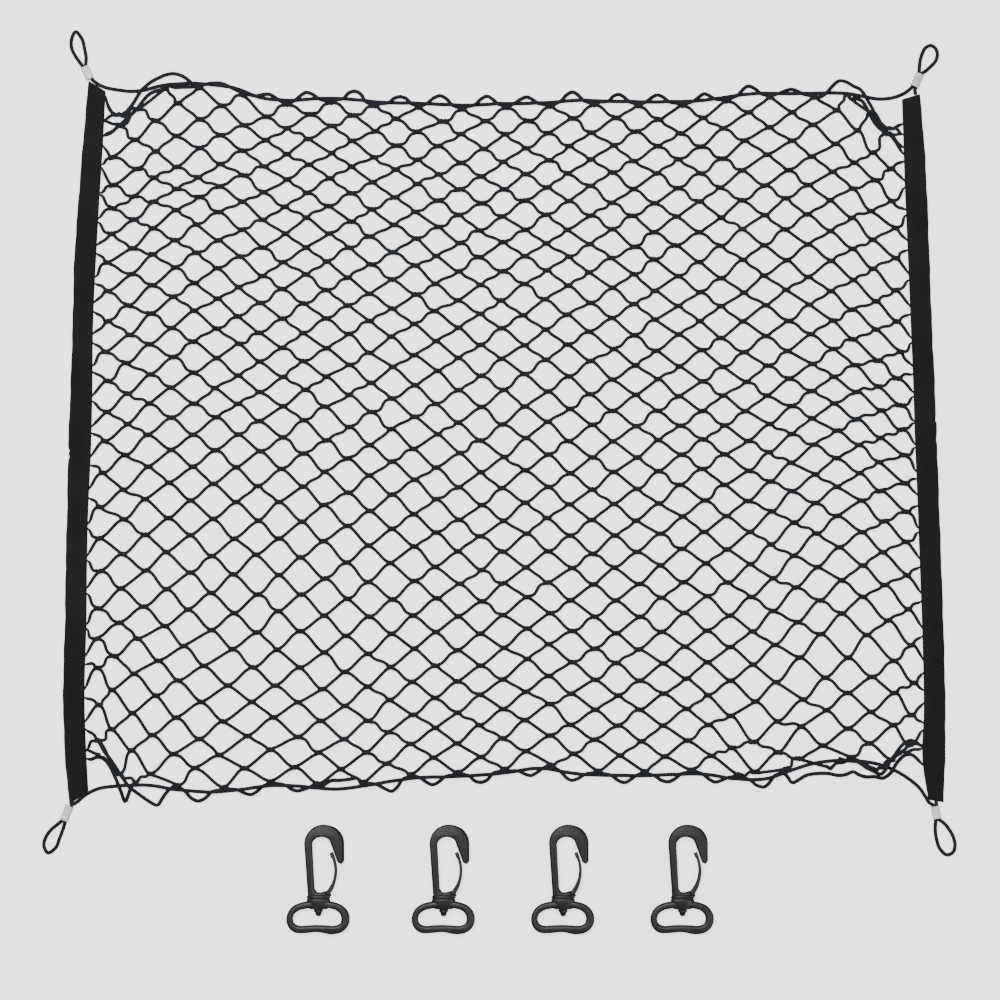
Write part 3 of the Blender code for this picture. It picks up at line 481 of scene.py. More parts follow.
def through(values, t):
    """The height at t, from 0 to 1, of a smooth curve through evenly spaced values."""
    last = len(values) - 1
    k = min(int(t * last), last - 1)
    w = t * last - k
    start, end = values[k], values[k + 1]
    before = values[k - 1] if k > 0 else 2 * start - end
    after = values[k + 2] if k + 2 <= last else 2 * end - start
    lean_in, lean_out = (end - before) / 2, (after - start) / 2
    return (start + w * lean_in + w**2 * (3 * (end - start) - 2 * lean_in - lean_out)
            + w**3 * (2 * (start - end) + lean_in + lean_out))


def read_off(curve, at, along):
    """The curve's other coordinate where it has this one, read along x (0) or y (1)."""
    order = np.argsort(curve[:, along])
    return np.interp(at, curve[order, along], curve[order, 1 - along])


def leg(outer, inner, at_inner, towards):
    """Where a cord meets a crimp, on the side nearer to a point, and its straight lead."""
    along = Vector(inner) - Vector(outer)
    along.normalize()
    side = Vector((-along.y, along.x))
    face, out = (Vector(inner), along) if at_inner else (Vector(outer), -along)
    if side.dot(Vector(towards) - face) < 0:
        side = -side
    mouth = face + out * PLAY + side * LEG_OFFSET
    return [tuple(mouth), tuple(mouth + out * LEAD)]


def corner_row(name):
    return next(row for row in CORNERS if row[0] == name)


def led_path(start, route, end, count):
    """A smooth path whose ends run straight out of their crimps."""
    middle = smooth_path([start[1], *route, end[1]], count - 2)
    return np.array([start[0], *map(tuple, middle), end[0]])


def edge_plan(which, count):
    """An edge cord's whole plan route, from its left crimp to its right one."""
    route = ROUTES[which]
    start, end = (leg(*corner_row(corner)[1:3], True, towards)
                  for corner, towards in zip(EDGE_CORNERS[which], (route[0], route[-1])))
    return led_path(start, route, end, count)


def selvedge(cord, off, sag_left, sag_right, sides):
    """The net's edge beside a cord, with its sag to the band at both ends."""
    beside = cord + off * sideways(cord)
    middle = beside[(beside[:, 0] > sag_left[-1][0] + SAG_JOIN)
                    & (beside[:, 0] < sag_right[0][0] - SAG_JOIN)]
    row = np.array([*sag_left, *middle[::SELVEDGE_THIN], *sag_right])
    ends = []
    for last, before, side in ((row[0], row[1], sides[0]), (row[-1], row[-2], sides[1])):
        way = last - before
        reach = abs(read_off(side, last[1], 1) - last[0])
        ends.append(last + way * reach / abs(way[0]))
    return smooth_path([ends[0], *row, ends[1]], EDGE_POINTS)


def row_share(u, v):
    """How far down the net a row lies at a place across, both from 0 to 1."""
    tall = [through(quarter, u) for quarter in zip(*MESH_TALL)]
    down = np.linspace(0.0, 1.0, ROW_STEPS)
    step = np.interp(down, np.linspace(0.0, 1.0, len(tall)), tall)
    run = np.concatenate(([0.0], np.cumsum(step[1:] + step[:-1])))
    return float(np.interp(v, down, run / run[-1]))


class NetPlan:
    """Places every knot of the net between its four edges."""

    def __init__(self):
        self.wide, self.high = 2 * MESHES_ACROSS, 2 * MESHES_DOWN
        beside_band = np.array([SELVEDGE_OFF - CORD_D / 2, 0.0])
        left = smooth_path([row[2:] for row in LEFT_BAND], EDGE_POINTS) + beside_band
        right = smooth_path([row[2:] for row in RIGHT_BAND], EDGE_POINTS) - beside_band
        self.sides = (left, right)
        ends = ((min, (SAG_TL, SAG_TR)), (max, (SAG_BL, SAG_BR)))
        self.turns = np.array([[pick(sag, key=lambda spot: spot[1]) for sag in sags]
                               for pick, sags in ends])
        self.cords = {which: edge_plan(which, EDGE_POINTS) for which in ROUTES}
        self.top = selvedge(self.cords["top"], -SELVEDGE_OFF, SAG_TL, SAG_TR, self.sides)
        self.bottom = selvedge(self.cords["bottom"], SELVEDGE_OFF, SAG_BL, SAG_BR, self.sides)
        self.levels = [cord - OUTSIDE[which] * SELVEDGE_OFF * sideways(cord)
                       for which, cord in self.cords.items()]
        draw = np.random.default_rng(CRUMPLE_SEED)
        self.stray = draw.uniform(-1.0, 1.0, (self.wide + 1, self.high + 1, 2))
        self.knots = np.array([[self.place(i, j) for j in range(self.high + 1)]
                               for i in range(self.wide + 1)])
        self.draw_corners()

    def between(self, u, v):
        """The point a share u across and v down, in a patch blended from the four edges.

        The corners draw in only the meshes nearest to them."""
        rows, ends, drawn = [], [], np.zeros(2)
        for edge, level, turns, meets, away in (
                (self.top, self.levels[0], self.turns[0], MEETS["top"], v),
                (self.bottom, self.levels[1], self.turns[1], MEETS["bottom"], 1 - v)):
            (first, first_x), (last, last_x) = meets
            even, x = (np.interp(u * self.wide, (0, 1, *middle, self.wide - 1, self.wide),
                                 (edge[0, 0], *spots, edge[-1, 0]))
                       for middle, spots in (
                           ((), (edge[0, 0] + BESIDE_BAND, edge[-1, 0] - BESIDE_BAND)),
                           ((first, last), (turns[0, 0], first_x, last_x, turns[1, 0]))))
            rows.append(np.array([even, read_off(level, even, 0)]))
            ends.append([np.array([edge[end, 0], read_off(level, edge[end, 0], 0)])
                         for end in (0, -1)])
            drawn += (np.array([x, read_off(edge, x, 0)]) - rows[-1]) * math.exp(
                -away * self.high / SAG_FADE)
        columns = []
        for side, end in zip(self.sides, (0, 1)):
            y = ends[0][end][1] + v * (ends[1][end][1] - ends[0][end][1])
            columns.append(np.array([read_off(side, y, 1), y]))
        top, bottom = ((1 - u) * left + u * right for left, right in ends)
        return ((1 - v) * (rows[0] - top) + v * (rows[1] - bottom)
                + (1 - u) * columns[0] + u * columns[1] + drawn)

    def draw_corners(self):
        """Moves the corners' knots to their places, and their neighbours part of the way."""
        spots = np.array([[i, j] for i, j, _, _ in DRAWN_KNOTS])
        moves = np.array([[x, y] for _, _, x, y in DRAWN_KNOTS])
        moves -= self.knots[spots[:, 0], spots[:, 1]]
        for i in range(1, self.wide):
            for j in range(1, self.high):
                near = np.exp(-0.5 * (np.linalg.norm(spots - (i, j), axis=1) / DRAWN_REACH) ** 2)
                self.knots[i, j] += near @ moves / max(1.0, near.sum())
        for i, j, x, y in DRAWN_KNOTS:
            self.knots[i, j] = (x, y)

    def slack(self, i):
        """How slack the net is at a place across: 1 at the bands, 0 away from them."""
        return max(0.0, 1 - min(i, self.wide - i) / BAND_REACH)

    def place(self, i, j):
        """The plan point of half mesh i across and j down."""
        u = i / self.wide
        x, y = self.between(u, row_share(u, j / self.high))
        if i in (0, self.wide) and 1 <= j <= self.high - 1:
            end = 0 if i == 0 else 1
            top, bottom = self.turns[:, end, 1]
            y = min(max(y, bottom + KNOT_CLEAR * (self.high - j)), top - KNOT_CLEAR * j)
            x = read_off(self.sides[end], y, 1)
        if i in (0, self.wide):
            return np.array([x + (HIDDEN if i else -HIDDEN), y])
        if j in (0, self.high):
            return np.array([x, y])
        reach = CRUMPLE + (CRUMPLE_AT_BANDS - CRUMPLE) * self.slack(i)
        x, y = (x, y) + self.stray[i, j] * reach
        left, right = (read_off(side, y, 1) for side in self.sides)
        x = min(max(x, left + KNOT_CLEAR * i), right - KNOT_CLEAR * (self.wide - i))
        near = x + (right - left) / self.wide * np.array([-1, 0, 1])
        top = read_off(self.top, near, 0).min() - KNOT_CLEAR * j
        bottom = read_off(self.bottom, near, 0).max() + KNOT_CLEAR * (self.high - j)
        return np.array([x, min(max(y, bottom), top)])


# ---------------------------------------------------------------- shared making
def depsgraph():
    return bpy.context.evaluated_depsgraph_get()


def add_piece(name, mesh, finish, body):
    """Puts a finished mesh in the scene, on its body."""
    obj = bpy.data.objects.new(name, mesh)
    mesh.name = name
    bpy.context.scene.collection.objects.link(obj)
    mesh.materials.clear()
    mesh.materials.append(finish)
    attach(obj, body)
    return obj


def mesh_of(name, points, edges=(), faces=()):
    """A mesh of points in millimetres."""
    mesh = bpy.data.meshes.new(name)
    mesh.from_pydata([tuple(float(c) * MM for c in p) for p in points], list(edges), list(faces))
    return mesh


def between_rings(count, sides, closed=False):
    """The faces between rings of points, each with so many sides."""
    return [(r * sides + k, r * sides + (k + 1) % sides,
             (r + 1) % count * sides + (k + 1) % sides, (r + 1) % count * sides + k)
            for r in range(count if closed else count - 1) for k in range(sides)]


def outward(mesh, merge=True):
    """Merges doubled points where asked, and turns every face outwards."""
    bm = bmesh.new()
    bm.from_mesh(mesh)
    if merge:
        bmesh.ops.remove_doubles(bm, verts=bm.verts, dist=DOUBLES)
    bmesh.ops.recalc_face_normals(bm, faces=bm.faces)
    bm.to_mesh(mesh)
    bm.free()


def smooth_with_corners(mesh, degrees=38.0):
    mesh.shade_smooth()
    mesh.set_sharp_from_angle(angle=math.radians(degrees))


def socket_called(tree, label):
    """The identifier of a tree's named input, which a modifier sets it by."""
    for item in tree.interface.items_tree:
        if item.item_type == "SOCKET" and item.in_out == "INPUT" and item.name == label:
            return item.identifier
    raise KeyError(label)


def grown(mesh, tree, values):
    """The mesh that a node tree makes of a line, with its named inputs set."""
    line = bpy.data.objects.new(mesh.name + "_line", mesh)
    bpy.context.scene.collection.objects.link(line)
    grow = line.modifiers.new("grow", "NODES")
    grow.node_group = tree
    for label, value in values.items():
        grow[socket_called(tree, label)] = value
    made = bpy.data.meshes.new_from_object(line.evaluated_get(depsgraph()))
    line.modifiers.clear()
    bpy.data.objects.remove(line)
    bpy.data.meshes.remove(mesh)
    if not made.polygons:
        raise RuntimeError("the node tree made nothing")
    return made


class TreeMaker:
    """A short way to add nodes to a node tree and to join them."""

    def __init__(self, tree):
        self.tree = tree

    def add(self, kind, inputs=(), **settings):
        node = self.tree.nodes.new(kind)
        for name, value in settings.items():
            setattr(node, name, value)
        for key, value in dict(inputs).items():
            if isinstance(value, bpy.types.NodeSocket):
                self.tree.links.new(value, node.inputs[key])
            else:
                node.inputs[key].default_value = value
        return node

    def maths(self, operation, *values):
        return self.add("ShaderNodeMath", dict(enumerate(values)), operation=operation).outputs[0]


def geometry_tree(name, *inputs):
    """A new node tree that takes a geometry and named inputs, and its maker and ends."""
    tree = bpy.data.node_groups.new(name, "GeometryNodeTree")
    tree.interface.new_socket("Geometry", in_out="INPUT", socket_type="NodeSocketGeometry")
    for label, kind in inputs:
        tree.interface.new_socket(label, in_out="INPUT", socket_type=kind)
    tree.interface.new_socket("Geometry", in_out="OUTPUT", socket_type="NodeSocketGeometry")
    maker = TreeMaker(tree)
    start = maker.add("NodeGroupInput")
    end = maker.add("NodeGroupOutput")
    return tree, maker, start.outputs, end.inputs


def end_tree(maker, geometry, given, result):
    """Ends a tree with real geometry in its finish."""
    whole = maker.add("GeometryNodeRealizeInstances", {"Geometry": geometry})
    smooth = maker.add("GeometryNodeSetShadeSmooth", {"Geometry": whole.outputs["Geometry"]})
    finish = maker.add("GeometryNodeSetMaterial",
                       {"Geometry": smooth.outputs["Geometry"], "Material": given["Finish"]})
    maker.tree.links.new(finish.outputs["Geometry"], result["Geometry"])


def sweep_tree():
    """Sweeps a round section along a line of edges.

    It keeps the run along the line and the turn round it, for the lay of the strands."""
    tree, maker, given, result = geometry_tree(
        "sweep_round", ("Diameter", "NodeSocketFloat"), ("Sides", "NodeSocketInt"),
        ("Finish", "NodeSocketMaterial"))
    curve = maker.add("GeometryNodeMeshToCurve", {"Mesh": given["Geometry"]})
    thick = maker.add("GeometryNodeInputNamedAttribute", {"Name": "thick"}, data_type="FLOAT")
    run = maker.add("GeometryNodeSplineParameter")
    measured = maker.add("GeometryNodeStoreNamedAttribute",
                         {"Geometry": curve.outputs["Curve"], "Name": "run",
                          "Value": run.outputs["Length"]}, data_type="FLOAT", domain="POINT")
    radius = maker.maths("MULTIPLY", given["Diameter"], 0.5)
    ring = maker.add("GeometryNodeCurvePrimitiveCircle",
                     {"Radius": radius, "Resolution": given["Sides"]}, mode="RADIUS")
    share = maker.add("GeometryNodeSplineParameter")
    angle = maker.maths("MULTIPLY", share.outputs["Factor"], 2 * math.pi)
    turn = maker.add("ShaderNodeCombineXYZ", {"X": maker.maths("COSINE", angle),
                                              "Y": maker.maths("SINE", angle)})
    marked = maker.add("GeometryNodeStoreNamedAttribute",
                       {"Geometry": ring.outputs["Curve"], "Name": "turn",
                        "Value": turn.outputs["Vector"]}, data_type="FLOAT_VECTOR", domain="POINT")
    swept = maker.add("GeometryNodeCurveToMesh",
                      {"Curve": measured.outputs["Geometry"],
                       "Profile Curve": marked.outputs["Geometry"],
                       "Scale": thick.outputs["Attribute"], "Fill Caps": True})
    end_tree(maker, swept.outputs["Mesh"], given, result)
    return tree


def stitch_tree():
    """Lays one small stitch after another along a line of edges.

    A stitch is a ball drawn out along the line to a share of the spacing."""
    tree, maker, given, result = geometry_tree(
        "lay_stitches", ("Spacing", "NodeSocketFloat"), ("Thread", "NodeSocketFloat"),
        ("Finish", "NodeSocketMaterial"))
    curve = maker.add("GeometryNodeMeshToCurve", {"Mesh": given["Geometry"]})
    spots = maker.add("GeometryNodeCurveToPoints",
                      {"Curve": curve.outputs["Curve"], "Length": given["Spacing"]}, mode="LENGTH")
    ball = maker.add("GeometryNodeMeshUVSphere",
                     {"Segments": 6, "Rings": 4, "Radius": given["Thread"]})
    reach = maker.maths("MULTIPLY", given["Spacing"], STITCH_LONG / 2)
    long = maker.maths("DIVIDE", reach, given["Thread"])
    size = maker.add("ShaderNodeCombineXYZ", {"X": 1.0, "Y": STITCH_FLAT, "Z": long})
    laid = maker.add("GeometryNodeInstanceOnPoints",
                     {"Points": spots.outputs["Points"], "Instance": ball.outputs["Mesh"],
                      "Rotation": spots.outputs["Rotation"], "Scale": size.outputs["Vector"]})
    end_tree(maker, laid.outputs["Instances"], given, result)
    return tree


def shared_tree(name, make):
    return bpy.data.node_groups.get(name) or make()


def strand_mesh(name, paths, diameter, sides, finish, thick=None):
    """One mesh of round strands along several paths, in millimetres."""
    points, edges, widths = [], [], []
    for number, path in enumerate(paths):
        first = len(points)
        points += [tuple(p) for p in path]
        edges += [(k, k + 1) for k in range(first, len(points) - 1)]
        widths += list(np.ones(len(path)) if thick is None else thick[number])
    mesh = mesh_of(name, points, edges)
    mesh.attributes.new("thick", "FLOAT", "POINT").data.foreach_set("value", widths)
    return grown(mesh, shared_tree("sweep_round", sweep_tree),
                 {"Diameter": diameter, "Sides": sides, "Finish": finish})


# ---------------------------------------------------------------- finishes
def new_finish(name, colour, rough):
    """A material, its shader and a maker for its nodes."""
    finish = bpy.data.materials.new(name)
    finish.use_nodes = True
    shader = finish.node_tree.nodes["Principled BSDF"]
    shader.inputs["Base Color"].default_value = (*colour, 1.0)
    shader.inputs["Roughness"].default_value = rough
    return finish, shader, TreeMaker(finish.node_tree)


def mottled(maker, place, colour, spread, scale):
    """The colour, lighter and darker in soft patches."""
    noise = maker.add("ShaderNodeTexNoise", {"Vector": place, "Scale": scale, "Detail": 4.0})
    ramp = maker.add("ShaderNodeValToRGB", {"Fac": noise.outputs["Fac"]})
    shades = (1 - spread, 1 + spread)
    for stop, position, shade in zip(ramp.color_ramp.elements, MOTTLE_STOPS, shades):
        stop.position = position
        stop.color = (*(c * shade for c in colour), 1.0)
    return ramp.outputs["Color"]


def fibrous(maker, shader, place, colour, ridges, look):
    """Gives cloth or cord its fuzz, the height of its ridges, painted shade that darkens its colour
    in the grooves between them, and a soft sheen.
    """
    shader.inputs["Specular IOR Level"].default_value = FIBRE_SPECULAR
    shader.inputs["Sheen Weight"].default_value = look["sheen"]
    shader.inputs["Sheen Roughness"].default_value = look["sheen_rough"]
    fuzz = maker.add("ShaderNodeTexNoise", {"Vector": place, "Scale": look["fuzz"], "Detail": 3.0})
    height = maker.maths("ADD", maker.maths("MULTIPLY", ridges, look["ridge_high"]),
                         maker.maths("MULTIPLY", fuzz.outputs["Fac"], look["fuzz_high"]))
    bumped(maker, shader, height, look["bump"])
    shade = mottled(maker, place, colour, look["spread"], look["patch"])
    # Painted shade: the colour is scaled darker in the grooves between the ridges and lighter on
    # their crests.
    painted_shade = maker.maths("MULTIPLY_ADD", ridges, look["groove_shade"], look["base"])
    mixed = maker.add("ShaderNodeVectorMath", {0: shade, "Scale": painted_shade}, operation="SCALE")
    maker.tree.links.new(mixed.outputs["Vector"], shader.inputs["Base Color"])


def bumped(maker, shader, height, depth):
    bump = maker.add("ShaderNodeBump", {"Height": height, "Distance": depth, "Strength": 1.0})
    maker.tree.links.new(bump.outputs["Normal"], shader.inputs["Normal"])


def stranded_finish(name, colour, plies, pitch, crossed, rough):
    """Twisted or braided fibre, whose strands follow the cord.

    Plies is how many strands run round it, and pitch the length of one turn of them."""
    finish, shader, maker = new_finish(name, colour, rough)
    turn = maker.add("ShaderNodeAttribute", attribute_name="turn").outputs["Vector"]
    run = maker.add("ShaderNodeAttribute", attribute_name="run").outputs["Fac"]
    parts = maker.add("ShaderNodeSeparateXYZ", {"Vector": turn})
    angle = maker.maths("MULTIPLY", maker.maths("ARCTAN2", parts.outputs["Y"], parts.outputs["X"]),
                        float(plies))
    along = maker.maths("MULTIPLY", run, 2 * math.pi * plies / pitch)
    ridge = maker.maths("SINE", maker.maths("ADD", along, angle))
    if crossed:
        other = maker.maths("SINE", maker.maths("SUBTRACT", along, angle))
        ridge = maker.maths("MULTIPLY", ridge, other)
    place = maker.add("ShaderNodeTexCoord").outputs["Object"]
    fibrous(maker, shader, place, colour, ridge, STRANDED_LOOK)
    return finish


def webbing_finish(name, colour, rib):
    """Woven webbing, with ribs across it in a herringbone."""
    finish, shader, maker = new_finish(name, colour, WEBBING_ROUGH)
    spot = maker.add("ShaderNodeUVMap", uv_map="weave").outputs["UV"]
    parts = maker.add("ShaderNodeSeparateXYZ", {"Vector": spot})
    across, along = parts.outputs["X"], parts.outputs["Y"]
    fold = maker.maths("PINGPONG", across, rib * HERRINGBONE_RIBS)
    lean = maker.maths("ADD", along, maker.maths("MULTIPLY", fold, HERRINGBONE_LEAN))
    twill = maker.maths("SINE", maker.maths("MULTIPLY", lean, 2 * math.pi / rib))
    warp = rib * WARP_SHARE
    ribs = maker.maths("SINE", maker.maths("MULTIPLY", across, 2 * math.pi / warp))
    weave = maker.maths("MULTIPLY_ADD", maker.maths("MULTIPLY", twill, ribs), 0.5, 0.5)
    place = maker.add("ShaderNodeTexCoord").outputs["Object"]
    fibrous(maker, shader, place, colour, weave, WEBBING_LOOK)
    return finish


def moulded_finish(name, colour, rough, grain):
    """Moulded plastic with a fine sparked grain and faint rubbed patches."""
    finish, shader, maker = new_finish(name, colour, rough)
    place = maker.add("ShaderNodeTexCoord").outputs["Object"]
    spark = maker.add("ShaderNodeTexNoise", {"Vector": place, "Scale": grain, "Detail": 5.0})
    flow = maker.add("ShaderNodeTexNoise", {"Vector": place, "Scale": FLOW_SCALE, "Detail": 2.0})
    height = maker.maths("ADD", spark.outputs["Fac"],
                         maker.maths("MULTIPLY", flow.outputs["Fac"], FLOW_HIGH))
    bumped(maker, shader, height, GRAIN_BUMP)
    smoothest, roughest = (rough + change for change in RUBBED)
    gloss = maker.add("ShaderNodeMapRange", {"Value": flow.outputs["Fac"], "To Min": smoothest,
                                             "To Max": roughest})
    maker.tree.links.new(gloss.outputs["Result"], shader.inputs["Roughness"])
    patches = mottled(maker, place, colour, PLASTIC_SPREAD, PLASTIC_PATCH)
    maker.tree.links.new(patches, shader.inputs["Base Color"])
    return finish


# ---------------------------------------------------------------- the net
class TwineMaker:
    """Works out the run of every twine of the net, knot by knot."""

    KNOT_STEPS = 9
    BAR_STEPS = 9
    SPLAY = 0.5  # how far a twine has turned towards the next knot when it leaves one
    KNOT_FULL = 1.14  # how much thicker a twine looks where it is drawn into a knot
    KNOT_SIZES = (0.85, 1.15)
    TILT, SLACK_TILT = 7.0, 9.0  # degrees that a knot may lean, and more of them at the bands
    REACH_OUT = 0.7  # how strongly a twine keeps its way out of a knot
    SWAY = 0.25  # how much one slack wave differs from another
    WAVE_SHARE, WAVE_LEAST = 0.7, 0.25  # height of a wave, from the twine to spare
    BOW = 0.35
    LIFT = 0.3  # how far a twine may lie off the floor between two knots
    DROP = 1.5  # how soon it comes down from a knot

    def __init__(self, plan, sizes):
        self.plan = plan
        self.radius = sizes.twine / 2 / MM
        self.reach = sizes.knot_reach / MM
        self.half = sizes.knot_long / 2 / MM
        self.bar = sizes.bar_long / MM
        draw = np.random.default_rng(CRUMPLE_SEED + 4)
        shape = (plan.wide + 1, plan.high + 1)
        self.lean = draw.uniform(-1.0, 1.0, shape)
        self.size = draw.uniform(*self.KNOT_SIZES, shape)
        self.sway = draw.uniform(-1.0, 1.0, (*shape, 3))
        self.edge_lean = self.edge_slopes()

    def edge_slopes(self):
        """The slope of the net's edge at each of its knots."""
        slopes = {}
        for j, edge in ((0, self.plan.top), (self.plan.high, self.plan.bottom)):
            for i in range(1, self.plan.wide, 2):
                x = self.plan.knots[i, j, 0]
                rise = read_off(edge, x + SLOPE_REACH, 0) - read_off(edge, x - SLOPE_REACH, 0)
                slopes[i, j] = math.atan2(rise, 2 * SLOPE_REACH)
        return slopes

    def knot(self, i, j, above):
        """The twist of one twine in a knot, from left to right, and the knot's own way."""
        tilt = self.edge_lean.get((i, j), 0.0)
        most = self.TILT + self.SLACK_TILT * self.plan.slack(i)
        tilt += math.radians(most) * self.lean[i, j]
        along = np.array([math.cos(tilt), math.sin(tilt)])
        across = np.array([-along[1], along[0]])
        t = np.linspace(0.0, 1.0, self.KNOT_STEPS)
        side = 1.0 if above else -1.0
        flat = (self.plan.knots[i, j] + np.outer((2 * t - 1) * self.half * self.size[i, j], along)
                + np.outer(side * self.reach * np.cos(2 * math.pi * t), across))
        high = self.radius + self.reach * (1 + side * np.sin(2 * math.pi * t))
        return np.column_stack([flat, high]), along

    def link(self, start, way_in, end, way_out, sway):
        """The twine between two knots: straight where it is drawn out, wavy where slack."""
        a, b = start[:2], end[:2]
        gap = np.linalg.norm(b - a)
        t = np.linspace(0.0, 1.0, self.BAR_STEPS + 2)[1:-1, None]
        pull = self.REACH_OUT * gap
        way_in, way_out = (way + self.SPLAY * ((b - a) / gap - way) for way in (way_in, way_out))
        flat = ((2 * t**3 - 3 * t**2 + 1) * a + (t**3 - 2 * t**2 + t) * pull * way_in
                + (3 * t**2 - 2 * t**3) * b + (t**3 - t**2) * pull * way_out)
        spare = self.bar - 2 * self.half - lengths_along(np.vstack([a, flat, b]))[-1]
        wave = math.sqrt(gap * max(0.0, spare)) / math.pi
        across = np.array([a[1] - b[1], b[0] - a[0]]) / gap
        varied = 1 - self.SWAY + self.SWAY * sway[1]
        shape = (np.sign(sway[0]) * np.sin(2 * math.pi * t) * varied
                 + self.BOW * sway[2] * np.sin(math.pi * t))
        flat = flat + shape * (self.WAVE_SHARE * wave + self.WAVE_LEAST) * across
        low = self.radius + self.LIFT * abs(sway[1])
        high = low + (start[2] - low) * (1 - np.sin(math.pi * t[:, 0])) ** self.DROP
        return np.column_stack([flat, high])

    def row(self, r):
        """One whole twine across the net, and how thick it is along its run."""
        knots = [(i, r) if (i + r) % 2 else (i, r + 1) for i in range(self.plan.wide + 1)]
        twists = [self.knot(i, j, j == r + 1) for i, j in knots]
        path = [twists[0][0]]
        full = np.full(self.KNOT_STEPS, self.KNOT_FULL)
        thick = [full]
        for k in range(1, len(twists)):
            i, j = knots[k]
            path.append(self.link(twists[k - 1][0][-1], twists[k - 1][1], twists[k][0][0],
                                  twists[k][1], self.sway[i, r]))
            path.append(twists[k][0])
            thick += [np.ones(self.BAR_STEPS), full]
        return pinched(self.plan, softened(np.vstack(path)), np.concatenate(thick))


def softened(path):
    """The path with its sharpest bends eased."""
    path = path.copy()
    for _ in range(SOFTENINGS):
        path[1:-1] = 0.5 * path[1:-1] + 0.25 * (path[:-2] + path[2:])
    return path


def pinched(plan, path, thick):
    """The path and its thickness, drawn in where it lies between a band's two layers."""
    inside = [read_off(side, path[:, 1], 1) for side in plan.sides]
    depth = np.maximum(inside[0] - path[:, 0], path[:, 0] - inside[1])
    pinch = np.clip((depth + PINCH_RUN / 2) / PINCH_RUN, 0.0, 1.0)
    path[:, 2] = path[:, 2] * (1 - pinch) + BAND_MIDDLE * pinch
    return path, thick * (1 - PINCH * pinch)


def border_strand(plan, twine, which):
    """The strand that winds round an edge cord, a turn for each mesh.

    It also returns where it passes under the cord, as lengths along the cord."""
    cord = plan.cords[which]
    run = lengths_along(cord)
    out = sideways(cord) * OUTSIDE[which]
    first, last = BORDER_SPACES[which]
    draw = np.random.default_rng(BORDER_SEEDS[which])
    j = 0 if which == "top" else plan.high
    twists = [twine.knot(i, j, which == "top") for i in range(2 * first - 1, 2 * last + 2, 2)]
    path, under = [twists[0][0]], []

    def spot(s, off, z):
        k = min(int(np.searchsorted(run, s)), len(run) - 1)
        return np.array([*(cord[k] + out[k] * off), z])

    def along_cord(point):
        return run[np.argmin(np.linalg.norm(cord - point[:2], axis=1))]

    low = twine.radius
    for number, (left, right) in enumerate(zip(twists, twists[1:]), start=first):
        start, end = along_cord(left[0][-1]), along_cord(right[0][0])
        hump = BORDER_HUMPS[which].get(number, draw.uniform(*BORDER_RANGE[which]))
        lean = draw.uniform(-BORDER_LEAN, BORDER_LEAN)
        at = [start + (end - start) * (share + lean) for share, _, _ in BORDER_TURN]
        if hump < 0:
            turns = [spot(s, hump, low) for s in at]
        else:
            turns = [spot(s, hump * swing, low + high)
                     for s, (_, swing, high) in zip(at, BORDER_TURN)]
            under.append(at[-1])
        fine = smooth_path([*left[0][-2:], *turns, *right[0][:2]], BORDER_STEPS)
        fine_run = lengths_along(fine)
        keep = ((fine_run > np.linalg.norm(left[0][-1] - left[0][-2]))
                & (fine_run < fine_run[-1] - np.linalg.norm(right[0][1] - right[0][0])))
        path += [fine[keep], right[0]]
    return np.vstack(path), under


def gathered_strand(plan, name, low):
    """A strand of a corner, and where it passes under its cord, as lengths along that."""
    flat = smooth_path(GATHERED[name], GATHERED_STEPS * len(GATHERED[name]))
    cord = plan.cords["top" if name[0] == "t" else "bottom"]
    cord_run, run = lengths_along(cord), lengths_along(flat)
    side = flat[:, 1] - read_off(cord, flat[:, 0], 0)
    crossings = np.nonzero(side[1:] * side[:-1] < 0)[0]
    crossings = [k for k in crossings if cord[0, 0] < flat[k, 0] < cord[-1, 0]]
    high = np.full(len(flat), low)
    over = crossings[-1:] if name.startswith("br") else crossings[:1]
    for k in over:
        high += CROSS_HIGH * np.exp(-((run - run[k]) / CROSS_RISE) ** 2)
    under = [cord_run[np.argmin(np.linalg.norm(cord - flat[k], axis=1))]
             for k in crossings if k not in over]
    return np.column_stack([flat, high]), under


class CARGO_OT_net(bpy.types.Operator):
    """Makes the knotted net from one twine after another, with its border strands"""
    bl_idname = "cargo.net"
    bl_label = "Net"

    def execute(self, context):
        sizes = context.scene.cargo_net
        plan = NetPlan()
        twine = TwineMaker(plan, sizes)
        finish = stranded_finish("net_twine", sizes.colour, plies=3, pitch=0.009, crossed=False,
                                 rough=0.78)
        rows = [twine.row(r) for r in range(plan.high)]
        for name, first, last in NET_THIRDS:
            some = rows[first:last]
            mesh = strand_mesh(f"net_{name}", [path for path, _ in some], sizes.twine,
                               sizes.sides, finish, [thick for _, thick in some])
            piece = add_piece(f"net_{name}", mesh, finish, "root")
            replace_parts(piece, "net")
        for which in ROUTES:
            path, _ = border_strand(plan, twine, which)
            mesh = strand_mesh(f"border_{which}", [path], sizes.border, sizes.sides + 1, finish)
            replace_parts(add_piece(f"border_{which}", mesh, finish, "root"), "net")
        drawn = [gathered_strand(plan, name, sizes.border / 2 / MM)[0] for name in GATHERED]
        drawn = [pinched(plan, path, np.ones(len(path))) for path in drawn]
        mesh = strand_mesh("net_corners", [path for path, _ in drawn], sizes.border,
                           sizes.sides + 1, finish, [thick for _, thick in drawn])
        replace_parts(add_piece("net_corners", mesh, finish, "root"), "net")
        return {"FINISHED"}


